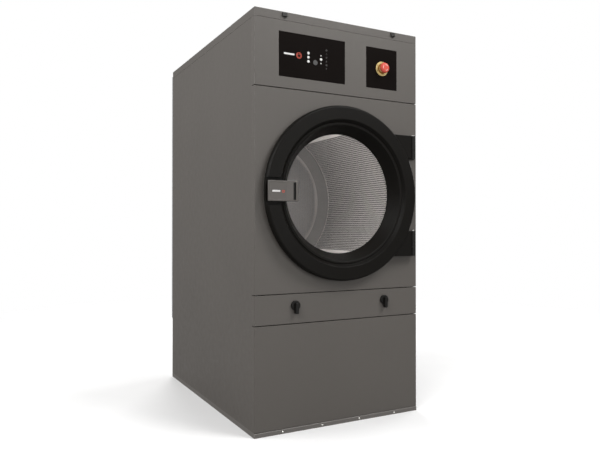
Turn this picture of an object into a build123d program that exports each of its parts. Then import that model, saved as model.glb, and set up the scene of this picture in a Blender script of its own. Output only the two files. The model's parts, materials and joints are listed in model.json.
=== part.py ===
from build123d import *
import os
from math import acos, atan2, cos, degrees, hypot, pi, radians, sin

# A free-standing commercial tumble dryer, in millimetres.
# Design axes: X to the right seen from the front, Y to the back, Z up.
# Y = 0 is the plane of the front panels and Z = 0 is the floor. Every piece is drawn
# in these axes, and save() moves it so that the frame's origin is the middle of the
# bottom of the whole machine's box.

# ---------------------------------------------------------------- driving dimensions
WIDTH = 795.0
DEPTH = 1126.0              # front panels to the rear edges of the side panels
HEIGHT = 1686.0
HALF = WIDTH / 2
SHEET = 1.5                 # casing sheet
BEND_R = 4.0                # outside radius of the casing's upright folds
EDGE_R = 2.2                # outside radius of the front panels' level folds
RETURN = 21.5               # depth of the front panels' folded edges
SEAM = 3.0                  # gap between front panels
SIDE_Y = 23.0               # front edge of the side panels

BASE_H = 19.0
LOWER_TOP = 432.5           # top edge of the lower front panel
STRIP_TOP = 553.5           # top edge of the lint drawer's front
DOOR_PANEL_TOP = 1377.0
COVER_Z = 1652.0            # bottom edge of the top cover's skirt

REAR_TRAY = 16.0            # how far the rear cover stands behind the side panels
REAR_TRAY_Z = (323.0, 1660.0)
SPIGOT_END = DEPTH + 60.0

# drum
DRUM_Z = 964.0
DRUM_R = 375.0
DRUM_SHEET = 1.2
DRUM_FRONT = 58.0
DRUM_BACK = 744.0
BACK_FLAT_R = 326.0         # flat middle of the dished drum back
BACK_FLAT_Y = 766.0
LIFTER_ANGLES = (66.0, 186.0, 306.0)
LIFTER_TIP_R = 312.0

# door
OPENING_R = 287.0           # loading opening in the door panel
RING_R = 364.0              # outside of the door's moulded ring
RING_BACK = -12.0
RING_FACE = -42.0
WINDOW_R = 251.0
GLASS_Y = (19.0, 25.0)
GLASS_R = 270.0
HINGE_X = 361.0
HINGE_Y = -21.0
KNUCKLE_R = 12.5
PIN_R = 4.0
EAR_X = 344.0               # right end of the ears
EAR_FRONT = -36.0
EARS = ((1126.0, 1228.0), (697.0, 807.0))
FIXED_KNUCKLE = 38.0        # length of each cabinet knuckle

HANDLE_X = (-361.0, -229.0)
HANDLE_Z = (924.0, 1005.0)
HANDLE_FRONT = -52.0
HANDLE_SHEET = 6.0
HANDLE_GROOVE_X = (-250.0, -241.0)
HANDLE_GROOVE_DEPTH = 4.5

# drive
BULKHEAD_Y = 790.0
SHAFT_R = 20.0
BEARING_R = 42.0
PULLEY_Y = (880.0, 904.0)
DRUM_PULLEY_R = 290.0
MOTOR_PULLEY_R = 24.0
MOTOR_X = 170.0
MOTOR_Z = 560.0
MOTOR_R = 75.0
BELT_GAP = 0.3
BELT_THICK = 4.0

# blower and exhaust
FAN_Y = 952.0
FAN_Z = 270.0
FAN_R = 115.0
SCROLL_HALF = 62.0
EYE_R = 85.0
DUCT_Y = (1081.0, 1119.0)
DUCT_Z = (115.0, 235.0)
SPIGOT_Z = 170.0
SPIGOT_R = 100.0
SPOUT_END = DEPTH + 4.8
FLAP_Y = DEPTH + 6.0
FLAP_Z = DUCT_Z[1] + 2.5
FLAP_HALF = 63.0
FLAP_DROP = 125.0
FLAP_THICK = 1.2
FLAP_ROD_R = 2.0

# lint drawer
DRAWER_HALF = 250.0
DRAWER_Z = (440.0, 548.0)
DRAWER_Y = (34.0, 560.0)
LOCK_X = 218.0
LOCK_Z = 508.0

RUNNING = 0.05              # radial clearance of a shaft in its hole
FREE = 0.3                  # clearance round keys and other sliding pieces

ORIGIN_Y = (HANDLE_FRONT + SPIGOT_END) / 2


# ---------------------------------------------------------------- shape helpers
def box(x0, x1, y0, y1, z0, z1):
    """A box between two corners, in any order."""
    size = (abs(x1 - x0), abs(y1 - y0), abs(z1 - z0))
    return Pos((x0 + x1) / 2, (y0 + y1) / 2, (z0 + z1) / 2) * Box(*size)


def rod_y(x, z, radius, y0, y1):
    """A round bar along Y."""
    return Pos(x, (y0 + y1) / 2, z) * Rot(90, 0, 0) * Cylinder(radius, y1 - y0)


def rod_x(y, z, radius, x0, x1):
    """A round bar along X."""
    return Pos((x0 + x1) / 2, y, z) * Rot(0, 90, 0) * Cylinder(radius, x1 - x0)


def rod_z(x, y, radius, z0, z1):
    """A round bar along Z."""
    return Pos(x, y, (z0 + z1) / 2) * Cylinder(radius, z1 - z0)


def tube_y(x, z, outer, inner, y0, y1):
    return rod_y(x, z, outer, y0, y1) - rod_y(x, z, inner, y0 - 1, y1 + 1)


def turned(points, x=0.0, z=DRUM_Z):
    """A closed outline of (radius, y) points, turned about a line along Y."""
    face = make_face(Polyline(*points, close=True))
    return Pos(x, 0, z) * revolve(face, Axis.Y)


def around_drum(piece, angle):
    """Turn a piece about the drum's axis; angle 0 points to +X, 90 points up."""
    return Pos(0, 0, DRUM_Z) * Rot(0, -angle, 0) * Pos(0, 0, -DRUM_Z) * piece


def front_pan(z0, z1):
    """A front panel: one sheet with its four edges folded back."""
    outer = box(-HALF, HALF, 0, RETURN, z0, z1)
    outer = fillet(outer.edges().filter_by(Axis.Z).group_by(Axis.Y)[0], BEND_R)
    for rim in (outer.edges().group_by(Axis.Z)[-1], outer.edges().group_by(Axis.Z)[0]):
        outer = fillet([edge for edge in rim if edge.center().Y < RETURN - 1], EDGE_R)
    inner = box(-HALF + SHEET, HALF - SHEET, SHEET, RETURN + 10, z0 + SHEET, z1 - SHEET)
    inner = fillet(inner.edges().filter_by(Axis.Z).group_by(Axis.Y)[0], BEND_R - SHEET)
    return outer - inner


def open_box(x0, x1, y0, y1, z0, z1, wall=SHEET):
    """A closed box of sheet, hollow inside."""
    inner = box(x0 + wall, x1 - wall, y0 + wall, y1 - wall, z0 + wall, z1 - wall)
    return box(x0, x1, y0, y1, z0, z1) - inner


def save(name, shape):
    """Write one piece, moved from the design axes to the machine's frame."""
    export_step(Pos(0, -ORIGIN_Y, 0) * shape, f"parts/{name}.step")


# ---------------------------------------------------------------- fasteners
SCREW_R = 2.5
SCREW_HEAD_R = 4.2
SCREW_HEAD = 1.8
SCREW_LENGTH = 9.0
BASE_SCREWS = [(x, 7.0) for x in (-273.5, -91.0, 91.0, 273.5)]
COVER_SCREW_X = HALF - 12.0
COVER_SCREWS = [(side * COVER_SCREW_X, z) for side in (-1, 1) for z in (345, 670, 995, 1320, 1630)]


def screw(x, y, z, facing):
    """A pan-head screw along Y; its head is on the side that facing points to."""
    head = rod_y(x, z, SCREW_HEAD_R, *sorted((y, y + facing * SCREW_HEAD)))
    head = fillet(head.edges().filter_by(GeomType.CIRCLE).sort_by(Axis.Y)[0 if facing < 0 else -1], 1.0)
    return head + rod_y(x, z, SCREW_R, *sorted((y, y - facing * SCREW_LENGTH)))


def screw_holes(places, y0, y1):
    return [rod_y(x, z, SCREW_R + RUNNING, y0, y1) for x, z in places]


def panel_screws():
    front = [screw(x, 0, z, -1) for x, z in BASE_SCREWS]
    rear = [screw(x, DEPTH + REAR_TRAY, z, 1) for x, z in COVER_SCREWS]
    return Compound(children=front + rear)


# ---------------------------------------------------------------- casing
BASE_RAIL = 40.0
BASE_CROSS = ((380.0, 440.0), (760.0, 820.0))
POST = 30.0
POST_SHEET = 2.0
CLIP_X = 266.0
CLIP_Z = 1673.0


def base_frame():
    """Welded base: a flat rectangle of rails with two cross members."""
    frame = box(-HALF, HALF, 0, DEPTH, 0, BASE_H)
    frame = chamfer(frame.edges().filter_by(Axis.X).group_by(Axis.Z)[-1].sort_by(Axis.Y)[0], 3.0)
    lows = [BASE_RAIL] + [end for _, end in BASE_CROSS]
    highs = [start for start, _ in BASE_CROSS] + [DEPTH - BASE_RAIL]
    for low, high in zip(lows, highs):
        frame -= box(-HALF + BASE_RAIL, HALF - BASE_RAIL, low, high, -1, BASE_H + 1)
    return frame - screw_holes(BASE_SCREWS, -1, SCREW_LENGTH + 1)


def frame_post(side, y0, y1, face_y):
    """An L-section corner post from the base to the top cover."""
    outer_x = side * (HALF - SHEET)
    leg = box(outer_x, outer_x - side * POST_SHEET, y0, y1, BASE_H, COVER_Z - 2)
    face = box(outer_x, outer_x - side * POST, face_y, face_y + POST_SHEET, BASE_H, COVER_Z - 2)
    return leg + face


def frame_posts():
    front_y = SIDE_Y + SHEET
    rear_y = DEPTH - 2 * SHEET - POST
    posts = []
    for side in (-1, 1):
        posts.append(frame_post(side, front_y, front_y + POST, front_y))
        posts.append(frame_post(side, rear_y, rear_y + POST, rear_y + POST - POST_SHEET))
    return Compound(children=posts)


def side_panel(side):
    """A side sheet with its front, rear, top and bottom edges folded inwards."""
    flange = 14.0
    z0, z1 = BASE_H, COVER_Z - SHEET
    outer = side * HALF
    inner = side * (HALF - flange)
    panel = box(outer, outer - side * SHEET, SIDE_Y, DEPTH, z0, z1)
    panel += box(outer, inner, SIDE_Y, SIDE_Y + SHEET, z0, z1)
    panel += box(outer, inner, DEPTH - SHEET, DEPTH, z0, z1)
    edges = panel.edges().filter_by(Axis.Z)
    corners = [e for e in edges if abs(abs(e.center().X) - HALF) < 0.01]
    return fillet(corners, 1.2)


def top_cover():
    """The lid: a tray upside down, with a skirt all round."""
    outer = box(-HALF, HALF, 0, DEPTH, COVER_Z, HEIGHT)
    outer = fillet(outer.edges().filter_by(Axis.Z), BEND_R)
    outer = fillet(outer.edges().group_by(Axis.Z)[-1], 3.0)
    inner = box(-HALF + SHEET, HALF - SHEET, SHEET, DEPTH - SHEET, COVER_Z - 10, HEIGHT - SHEET)
    inner = fillet(inner.edges().filter_by(Axis.Z), BEND_R - SHEET)
    cover = outer - inner
    for side in (-1, 1):
        cover -= box(side * CLIP_X - 6, side * CLIP_X + 6, -1, 3, CLIP_Z - 4, CLIP_Z + 4)
    return cover


def top_cover_clip(x):
    """A moulded clip that holds the lid down at the front."""
    head = box(x - 10, x + 10, -7, 0, CLIP_Z - 8, CLIP_Z + 8)
    head = fillet(head.edges().group_by(Axis.Y)[0], 2.0)
    neck = box(x - 5.8, x + 5.8, 0, 6, CLIP_Z - 3.8, CLIP_Z + 3.8)
    barb = box(x - 7.5, x + 7.5, SHEET + 0.2, 6, CLIP_Z - 3.8, CLIP_Z + 3.8)
    tongue = box(x - 3, x + 3, -3, -0.2, CLIP_Z - 13, CLIP_Z - 7)
    return head + neck + barb + tongue


def top_cover_clips():
    return Compound(children=[top_cover_clip(side * CLIP_X) for side in (-1, 1)])


def lower_panel():
    return front_pan(BASE_H + 0.5, LOWER_TOP)


def door_panel():
    """The middle front panel, with the loading opening and its rolled collar."""
    collar_end = 64.0
    panel = front_pan(STRIP_TOP + SEAM, DOOR_PANEL_TOP)
    panel -= rod_y(0, DRUM_Z, OPENING_R + SHEET, -1, 10)
    collar = turned([
        (OPENING_R, 1.2), (OPENING_R + 1.2, 0), (OPENING_R + 8, 0), (OPENING_R + 8, SHEET),
        (OPENING_R + SHEET, SHEET + 0.6), (OPENING_R + SHEET, collar_end), (OPENING_R, collar_end)])
    panel += collar
    magnet_x, magnet_z = MAGNET_X, MAGNET_Z
    panel -= box(magnet_x[0] - 0.2, magnet_x[1] + 0.2, -1, 3, magnet_z[0] - 0.2, magnet_z[1] + 0.2)
    return panel


REAR_OPENING_X = 330.0
REAR_OPENING_Z = (420.0, 1600.0)
REAR_SEAM_Z = 380.0


def rear_panel():
    """Two back sheets: a frame round the service opening, and a plate with the exhaust hole."""
    half = HALF - 2 * SHEET
    y0 = DEPTH - 2 * SHEET
    frame = box(-half, half, y0, y0 + SHEET, REAR_SEAM_Z, COVER_Z - SHEET)
    frame -= box(-REAR_OPENING_X, REAR_OPENING_X, y0 - 1, y0 + 3, *REAR_OPENING_Z)
    plate = box(-half, half, y0, y0 + SHEET, BASE_H + 1, REAR_SEAM_Z - 0.5)
    plate -= rod_y(0, SPIGOT_Z, SPIGOT_R + 1, y0 - 1, y0 + 3)
    return Compound(children=[frame, plate])


LOUVRE = (150.0, 8.0, 7.0)          # slot width, slot height, how far the hood stands out
LOUVRE_PITCH = 24.0
LOUVRE_COLUMNS = (-190.0, 0.0, 190.0)
LOUVRE_ROWS = [1396.0 + LOUVRE_PITCH * i for i in range(9)] + [450.0 + LOUVRE_PITCH * i for i in range(5)]
GLAND_X = -300.0
GLAND_Z = 1560.0


def louvre_hood(x, z):
    """A pressed hood over one slot, open downwards."""
    width, height, proud = LOUVRE
    y0 = DEPTH + REAR_TRAY
    face = make_face(Plane.YZ * Polyline(
        (y0 - 0.5, z + 1), (y0 - 0.5, z + height + 4), (y0 + proud, z + 1.5), (y0 + proud, z),
        (y0 + proud - 1.2, z), (y0 + proud - 1.2, z + 1), (y0 + 0.5, z + height + 1), (y0 + 0.5, z + 1),
        close=True))
    hood = extrude(Pos(x - width / 2, 0, 0) * face, width, dir=(1, 0, 0))
    for end in (x - width / 2, x + width / 2 - 1.2):
        cheek = make_face(Plane.YZ * Polyline(
            (y0 - 0.5, z), (y0 - 0.5, z + height + 4), (y0 + proud, z + 1.5), (y0 + proud, z), close=True))
        hood += extrude(Pos(end, 0, 0) * cheek, 1.2, dir=(1, 0, 0))
    return hood


def rear_cover():
    """The shallow tray over the drive and heater, with louvres for the incoming air."""
    y0, y1 = DEPTH, DEPTH + REAR_TRAY
    z0, z1 = REAR_TRAY_Z
    outer = box(-HALF, HALF, y0, y1, z0, z1)
    outer = fillet(outer.edges().group_by(Axis.Y)[-1], 3.0)
    cover = outer - box(-HALF + SHEET, HALF - SHEET, y0 - 1, y1 - SHEET, z0 + SHEET, z1 - SHEET)
    width, height, _ = LOUVRE
    slots = [box(x - width / 2 + 1.2, x + width / 2 - 1.2, y1 - 3, y1 + 1, z, z + height)
             for x in LOUVRE_COLUMNS for z in LOUVRE_ROWS]
    cover -= slots
    cover += [louvre_hood(x, z) for x in LOUVRE_COLUMNS for z in LOUVRE_ROWS]
    cover -= screw_holes(COVER_SCREWS, y1 - 3, y1 + 1)
    return cover - rod_y(GLAND_X, GLAND_Z, 10.0, y1 - 3, y1 + 1)


def cable_gland():
    """The supply cable's gland: hexagon, dome, thread and lock nut, bored through."""
    y1 = DEPTH + REAR_TRAY
    hexagon = extrude(Plane.XZ * RegularPolygon(17.0, 6), -8.0)
    body = Pos(GLAND_X, y1, GLAND_Z) * hexagon
    dome = rod_y(GLAND_X, GLAND_Z, 13.0, y1 + 8, y1 + 24)
    dome = fillet(dome.edges().filter_by(GeomType.CIRCLE).sort_by(Axis.Y)[-1], 5.0)
    thread = rod_y(GLAND_X, GLAND_Z, 10.0 - RUNNING, y1 - 9, y1)
    nut = Pos(GLAND_X, y1 - SHEET, GLAND_Z) * extrude(Plane.XZ * RegularPolygon(15.0, 6), 5.0)
    return body + dome + thread + nut - rod_y(GLAND_X, GLAND_Z, 6.5, y1 - 20, y1 + 40)


# ---------------------------------------------------------------- controls
DISPLAY = (-291.7, 19.0, 1426.0, 1607.0)        # x low, x high, z low, z high
ESTOP_PLATE = (126.4, 288.5, 1427.0, 1604.0)
PLATE_Y = (-0.8, 2.2)
KEYS = {
    "program_key_top": (-157.7, 1534.0, 5.5),
    "program_key_middle": (-157.7, 1517.0, 5.5),
    "program_key_bottom": (-157.7, 1500.0, 5.5),
    "select_key": (-125.4, 1499.0, 10.5),
    "start_key": (-98.3, 1515.6, 5.5),
}
LEDS = [(-98.3, 1531.0), (-98.3, 1499.4)]
LED_R = 2.5
ESTOP_X = 208.0
ESTOP_Z = 1515.0
ESTOP_BORE = 6.0


def control_fascia():
    fascia = front_pan(DOOR_PANEL_TOP + SEAM, COVER_Z - SHEET)
    for x0, x1, z0, z1 in (DISPLAY, ESTOP_PLATE):
        fascia -= box(x0 - FREE, x1 + FREE, -1, 3, z0 - FREE, z1 + FREE)
    return fascia


def black_plate(x0, x1, z0, z1):
    plate = box(x0, x1, *PLATE_Y, z0, z1)
    plate = fillet(plate.edges().filter_by(Axis.Y), 2.0)
    return fillet(plate.edges().group_by(Axis.Y)[0], 0.5)


def display_panel():
    panel = black_plate(*DISPLAY)
    panel -= [rod_y(x, z, r + FREE, -5, 5) for x, z, r in KEYS.values()]
    return panel - [rod_y(x, z, LED_R + RUNNING, -5, 5) for x, z in LEDS]


def push_key(x, z, radius):
    """A round key with a shoulder that keeps it behind the display panel."""
    cap = rod_y(x, z, radius, -2.4, 6.0)
    cap = fillet(cap.edges().filter_by(GeomType.CIRCLE).sort_by(Axis.Y)[0], 0.8)
    return cap + rod_y(x, z, radius + 2, 2.6, 4.2)


def status_leds():
    lamps = []
    for x, z in LEDS:
        lamp = rod_y(x, z, LED_R, -1.6, 4.0)
        lamps.append(fillet(lamp.edges().filter_by(GeomType.CIRCLE).sort_by(Axis.Y)[0], 1.2))
    return Compound(children=lamps)


def estop_plate():
    return black_plate(*ESTOP_PLATE) - rod_y(ESTOP_X, ESTOP_Z, 11.05, -5, 5)


def estop_collar():
    """The yellow disc and the threaded barrel that guides the stop button's stem."""
    disc = rod_y(ESTOP_X, ESTOP_Z, 31.0, -3.8, PLATE_Y[0])
    disc = chamfer(disc.edges().filter_by(GeomType.CIRCLE).sort_by(Axis.Y)[0], 1.0)
    barrel = rod_y(ESTOP_X, ESTOP_Z, 11.0, PLATE_Y[0], 30)
    return disc + barrel - rod_y(ESTOP_X, ESTOP_Z, ESTOP_BORE + RUNNING, -10, 40)


def estop_stem():
    stem = rod_y(ESTOP_X, ESTOP_Z, ESTOP_BORE, -12, 36)
    spigot = rod_y(ESTOP_X, ESTOP_Z, 4.0, -24, -12)
    return stem + spigot + rod_y(ESTOP_X, ESTOP_Z, 8.5, 30.5, 34)


def estop_cap():
    """The red mushroom, bored for the stem."""
    cap = turned([
        (0, -31), (8, -30.6), (14, -29), (18, -26), (20, -22), (20, -18.5), (18.5, -17),
        (11, -15), (9, -12.3), (0, -12.3)], ESTOP_X, ESTOP_Z)
    return cap - rod_y(ESTOP_X, ESTOP_Z, 4.0 + RUNNING, -24.5, -10)


def electrical_tray():
    """The shelf under the controls, with a bracket that carries the control board."""
    z0 = DOOR_PANEL_TOP + 7
    tray = box(-360, 360, 40, 700, z0, z0 + SHEET)
    tray += box(-360, 360, 698.5, 700, z0, z0 + 25)
    tray += box(-HALF + SHEET + POST_SHEET, HALF - SHEET - POST_SHEET, 30, 54, z0, z0 + SHEET)
    tray += box(-285, 5, 40, 41.5, z0, 1604)
    return tray


def control_board():
    """The control board with its display module, relays and transformer."""
    board = box(-285, 5, 38, 40, 1432, 1602)
    board += box(-250, -40, 24, 38, 1540, 1590)
    board += [box(x, x + 22, 26, 38, 1440, 1470) for x in (-270, -240, -210, -180)]
    return board + box(-80, -20, 20, 38, 1440, 1490)


def motor_inverter():
    """The drive's frequency inverter, with cooling fins on its right side."""
    z0 = DOOR_PANEL_TOP + 7 + SHEET
    case = box(120, 270, 130, 330, z0, z0 + 130)
    case = fillet(case.edges().filter_by(Axis.Z), 6.0)
    return case + [box(265, 300, y, y + 4, z0, z0 + 120) for y in range(145, 320, 12)]


# ---------------------------------------------------------------- door
NOTCH_Z = (909.0, 1018.0)
MAGNET_X = (-342.0, -320.0)
MAGNET_Z = (945.0, 983.0)


def ring_moulding():
    """The door's hollow ring: outer wall, flat face, stepped ledge and inner cone."""
    cone_in, cone_out = 283.0, WINDOW_R
    outline = [
        (RING_R, RING_BACK), (RING_R, -35), (357.5, RING_FACE + 1), (306, RING_FACE - 1), (299, -34),
        (295, -30), (291, -33), (cone_in, -32), (cone_out, 16), (cone_out, GLASS_Y[0]),
        (279, GLASS_Y[0]), (279, 15.5), (259, 15.5), (286.5, -28), (299, -26), (304, -31), (308.5, -39),
        (356.5, -37.8), (RING_R - 4, -33.5), (RING_R - 4, RING_BACK)]
    face = make_face(Polyline(*outline, close=True))

    def corner(radius, y):
        return min(face.vertices(), key=lambda v: hypot(v.X - radius, v.Y - y))

    for radius, y, round_r in ((RING_R, -35, 6.0), (357.5, RING_FACE + 1, 6.0), (306, RING_FACE - 1, 4.0),
                               (291, -33, 1.5), (cone_in, -32, 4.0)):
        face = fillet(corner(radius, y), round_r)
    return Pos(0, 0, DRUM_Z) * revolve(face, Axis.Y)


def ear(z0, z1):
    """A hollow lug at the ring's right side that reaches the hinge."""
    wall = 4.0
    block = box(230, EAR_X, EAR_FRONT, RING_BACK, z0, z1)
    block = fillet(block.edges().group_by(Axis.Y)[0], 3.0)
    pocket = box(230, EAR_X - wall, EAR_FRONT + wall, RING_BACK + 1, z0 + wall, z1 - wall)
    pocket -= rod_y(0, DRUM_Z, RING_R, -50, 0)
    return block - rod_y(0, DRUM_Z, RING_R - 3, -50, 0) - pocket


def door_ring():
    ring = ring_moulding()
    for z0, z1 in EARS:
        ring += ear(z0, z1)
    # the notch in the face that the handle sits in, with a solid floor and a pedestal
    ring -= box(-380, -290, -60, -30, *NOTCH_Z)
    floor = box(-380, -290, -30, RING_BACK, NOTCH_Z[0] - 4, NOTCH_Z[1] + 4)
    floor = floor & tube_y(0, DRUM_Z, RING_R, 300.5, -40, 0)
    walls = [box(-380, -290, -39, -20, z, z + 4) for z in (NOTCH_Z[0] - 4, NOTCH_Z[1])]
    walls = [wall & tube_y(0, DRUM_Z, RING_R - 2, 305, -60, 0) for wall in walls]
    pedestal = box(-354, -300, HANDLE_FRONT + HANDLE_SHEET, -28, HANDLE_Z[0] + 8, HANDLE_Z[1] - 8)
    return ring + floor + walls + pedestal


def door_back_ring():
    """The steel ring that closes the moulding's back and meets the magnet."""
    ring = tube_y(0, DRUM_Z, RING_R - 0.5, 279.5, RING_BACK, RING_BACK + 2)
    return ring


def door_seal():
    return turned([(292, -10), (304, -10), (303, -2.5), (300, -0.4), (296, -0.4), (293, -2.5)])


def door_glass():
    pane = rod_y(0, DRUM_Z, GLASS_R, *GLASS_Y)
    return chamfer(pane.edges().filter_by(GeomType.CIRCLE), 0.8)


def glass_clamp_ring():
    """The ring that holds the pane against the moulding's inner flange."""
    y0, y1 = GLASS_Y
    return turned([
        (WINDOW_R + 2, y1), (GLASS_R + 1, y1), (GLASS_R + 1, y0), (278.5, y0), (278.5, y1 + 2),
        (277, y1 + 3), (WINDOW_R + 3, y1 + 3), (WINDOW_R + 2, y1 + 2)])


def door_handle():
    """The grip plate: fixed over the notch, grooved, and open behind its right end for the fingers."""
    x0, x1 = HANDLE_X
    z0, z1 = HANDLE_Z
    plate = box(x0, x1, HANDLE_FRONT, HANDLE_FRONT + HANDLE_SHEET, z0, z1)
    plate = fillet(plate.edges().filter_by(Axis.Y), 3.0)
    plate = fillet(plate.edges().group_by(Axis.Y)[0], 2.5)
    groove_y = HANDLE_FRONT + HANDLE_GROOVE_DEPTH
    return plate - box(*HANDLE_GROOVE_X, HANDLE_FRONT - 1, groove_y, z0 + 6, z1 - 6)


def door_knuckle(z0, z1):
    """The door's half of one hinge: a barrel on a plate that closes the ear's back."""
    barrel_z = z0 + FIXED_KNUCKLE + 1
    barrel = rod_z(HINGE_X, HINGE_Y, KNUCKLE_R, barrel_z, z1)
    leaf = box(240, EAR_X - 0.5, RING_BACK, RING_BACK + 3, z0 + 1, z1 - 1)
    leaf += box(EAR_X - 1, HINGE_X, RING_BACK, RING_BACK + 3, barrel_z, z1 - 1)
    leaf -= rod_y(0, DRUM_Z, RING_R + 0.5, -40, 20)
    return barrel + leaf - rod_z(HINGE_X, HINGE_Y, PIN_R + RUNNING, z0 - 10, z1 + 10)


def door_knuckles():
    return Compound(children=[door_knuckle(*span) for span in EARS])


def hinge_bracket(z0, z1):
    """The cabinet's half of one hinge: a plate on the panel and the lower barrel."""
    knuckle_top = z0 + FIXED_KNUCKLE
    plate = box(346, 386, -3, 0, z0, z1)
    plate = fillet(plate.edges().filter_by(Axis.Y), 4.0)
    web = box(HINGE_X - 9, HINGE_X + 9, HINGE_Y, -2, z0, knuckle_top)
    barrel = rod_z(HINGE_X, HINGE_Y, KNUCKLE_R, z0, knuckle_top)
    return plate + web + barrel - rod_z(HINGE_X, HINGE_Y, PIN_R + RUNNING, z0 - 10, z1 + 10)


def hinge_brackets():
    return Compound(children=[hinge_bracket(*span) for span in EARS])


def hinge_pins():
    pins = []
    for z0, z1 in EARS:
        shank = rod_z(HINGE_X, HINGE_Y, PIN_R, z0 + 1, z1 + 1)
        head = rod_z(HINGE_X, HINGE_Y, 7.5, z1 + 0.6, z1 + 3.6)
        pins.append(shank + fillet(head.edges().group_by(Axis.Z)[-1], 1.2))
    return Compound(children=pins)


def door_magnet():
    """The magnetic catch that the door's steel ring closes against."""
    block = box(*MAGNET_X, RING_BACK + 2 + FREE, 12, *MAGNET_Z)
    flange = box(MAGNET_X[0] - 6, MAGNET_X[1] + 6, SHEET, SHEET + 2, MAGNET_Z[0] - 6, MAGNET_Z[1] + 6)
    return block + flange


# ---------------------------------------------------------------- drum
def drum_shell():
    """The drum's cylinder with its front ring and rolled lip."""
    outer = DRUM_R + DRUM_SHEET
    front = DRUM_FRONT + SHEET
    return turned([
        (300, DRUM_FRONT), (outer, DRUM_FRONT), (outer, DRUM_BACK), (DRUM_R, DRUM_BACK),
        (DRUM_R, front), (301.5, front), (301.5, DRUM_FRONT + 12), (300, DRUM_FRONT + 12)])


def drum_back():
    """The dished back: a sloping band round a flat middle."""
    outer = DRUM_R + DRUM_SHEET
    return turned([
        (outer, DRUM_BACK), (DRUM_R, DRUM_BACK), (BACK_FLAT_R, BACK_FLAT_Y), (0, BACK_FLAT_Y),
        (0, BACK_FLAT_Y + 2), (BACK_FLAT_R + 0.5, BACK_FLAT_Y + 2), (outer, DRUM_BACK + 2.5)])


def lifter():
    """A folded lifter rib, drawn where it points to +X."""
    base = DRUM_R - 2.0
    tip = LIFTER_TIP_R

    def wedge(wall):
        reach = base + (5 if wall else 0)
        face = make_face(Plane.XZ * Polyline(
            (reach, 35 - wall), (tip + 12 + wall, 14 - wall), (tip + wall, 7 - wall),
            (tip + wall, wall - 7), (tip + 12 + wall, wall - 14), (reach, wall - 35), close=True))
        length = 655.0 - 2 * wall
        return Pos(0, DRUM_FRONT + 15 + wall, DRUM_Z) * extrude(face, -length)

    return wedge(0) - wedge(SHEET)


def drum_lifters():
    return Compound(children=[around_drum(lifter(), angle) for angle in LIFTER_ANGLES])


def drum_shaft():
    """The drum's shaft with its flange and three spider arms on the drum's back."""
    y0 = BACK_FLAT_Y + 2
    shaft = turned([
        (0, y0), (110, y0), (110, y0 + 8), (36, y0 + 10), (36, y0 + 18), (SHAFT_R, y0 + 20),
        (SHAFT_R, PULLEY_Y[1] + 10), (SHAFT_R - 2, PULLEY_Y[1] + 12), (0, PULLEY_Y[1] + 12)])
    arm = box(60, 318, y0, y0 + 8, DRUM_Z - 22, DRUM_Z + 22)
    return shaft + [around_drum(arm, angle) for angle in LIFTER_ANGLES]


def drum_bearings():
    rings = []
    for y in (BULKHEAD_Y + 6, BULKHEAD_Y + 56):
        rings.append(tube_y(0, DRUM_Z, BEARING_R - 0.02, SHAFT_R + RUNNING, y, y + 18))
    return Compound(children=rings)


SUCTION_X = (-240.0, -80.0)
SUCTION_Z = (265.0, 405.0)
SUCTION_BOX = (-250.0, -SCROLL_HALF, BULKHEAD_Y + 2, 1040.0, 170.0, 425.0)
HEATER_OUTLET_X = 200.0
HEATER_OUTLET_Z = (1296.0, 1334.0)


def rear_bulkhead():
    """The wall behind the drum: bearing housing, two air openings and the motor's shelf."""
    y0, y1 = BULKHEAD_Y, BULKHEAD_Y + 2
    wall = box(-HALF + SHEET, HALF - SHEET, y0, y1, BASE_H, COVER_Z - 20)
    wall -= box(*SUCTION_X, y0 - 1, y1 + 1, *SUCTION_Z)
    wall -= box(-HEATER_OUTLET_X, HEATER_OUTLET_X, y0 - 1, y1 + 1, *HEATER_OUTLET_Z)
    housing = turned([(30, y1), (95, y1), (95, y1 + 8), (56, y1 + 12), (56, y1 + 76), (30, y1 + 76)])
    ribs = [around_drum(box(50, 240, y1, y1 + 30, DRUM_Z - 4, DRUM_Z + 4), a) for a in range(0, 360, 60)]
    wall += [housing] + ribs
    wall += box(MOTOR_X - 85, MOTOR_X + 85, y1 - 1, 1090, MOTOR_Z - 84, MOTOR_Z - 80)
    for x in (MOTOR_X - 85, MOTOR_X + 81):
        gusset = make_face(Plane.YZ * Polyline(
            (y1 - 1, MOTOR_Z - 84), (1085, MOTOR_Z - 84), (y1 - 1, MOTOR_Z - 200), close=True))
        wall += extrude(Pos(x, 0, 0) * gusset, 4, dir=(1, 0, 0))
    return wall - rod_y(0, DRUM_Z, BEARING_R, y0 - 5, y1 + 100)


def drum_pulley():
    """The big pulley: hub, perforated web and rim."""
    y0, y1 = PULLEY_Y
    middle = (y0 + y1) / 2
    bore = SHAFT_R + 0.02
    wheel = turned([
        (bore, y0 - 8), (40, y0 - 8), (40, middle - 3), (DRUM_PULLEY_R - 8, middle - 3),
        (DRUM_PULLEY_R - 8, y0), (DRUM_PULLEY_R, y0), (DRUM_PULLEY_R, y1), (DRUM_PULLEY_R - 8, y1),
        (DRUM_PULLEY_R - 8, middle + 3), (40, middle + 3), (40, y1 + 6), (bore, y1 + 6)])
    hole = rod_y(160, DRUM_Z, 62, y0, y1)
    return wheel - [around_drum(hole, 60 * i + 30) for i in range(6)]


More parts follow.
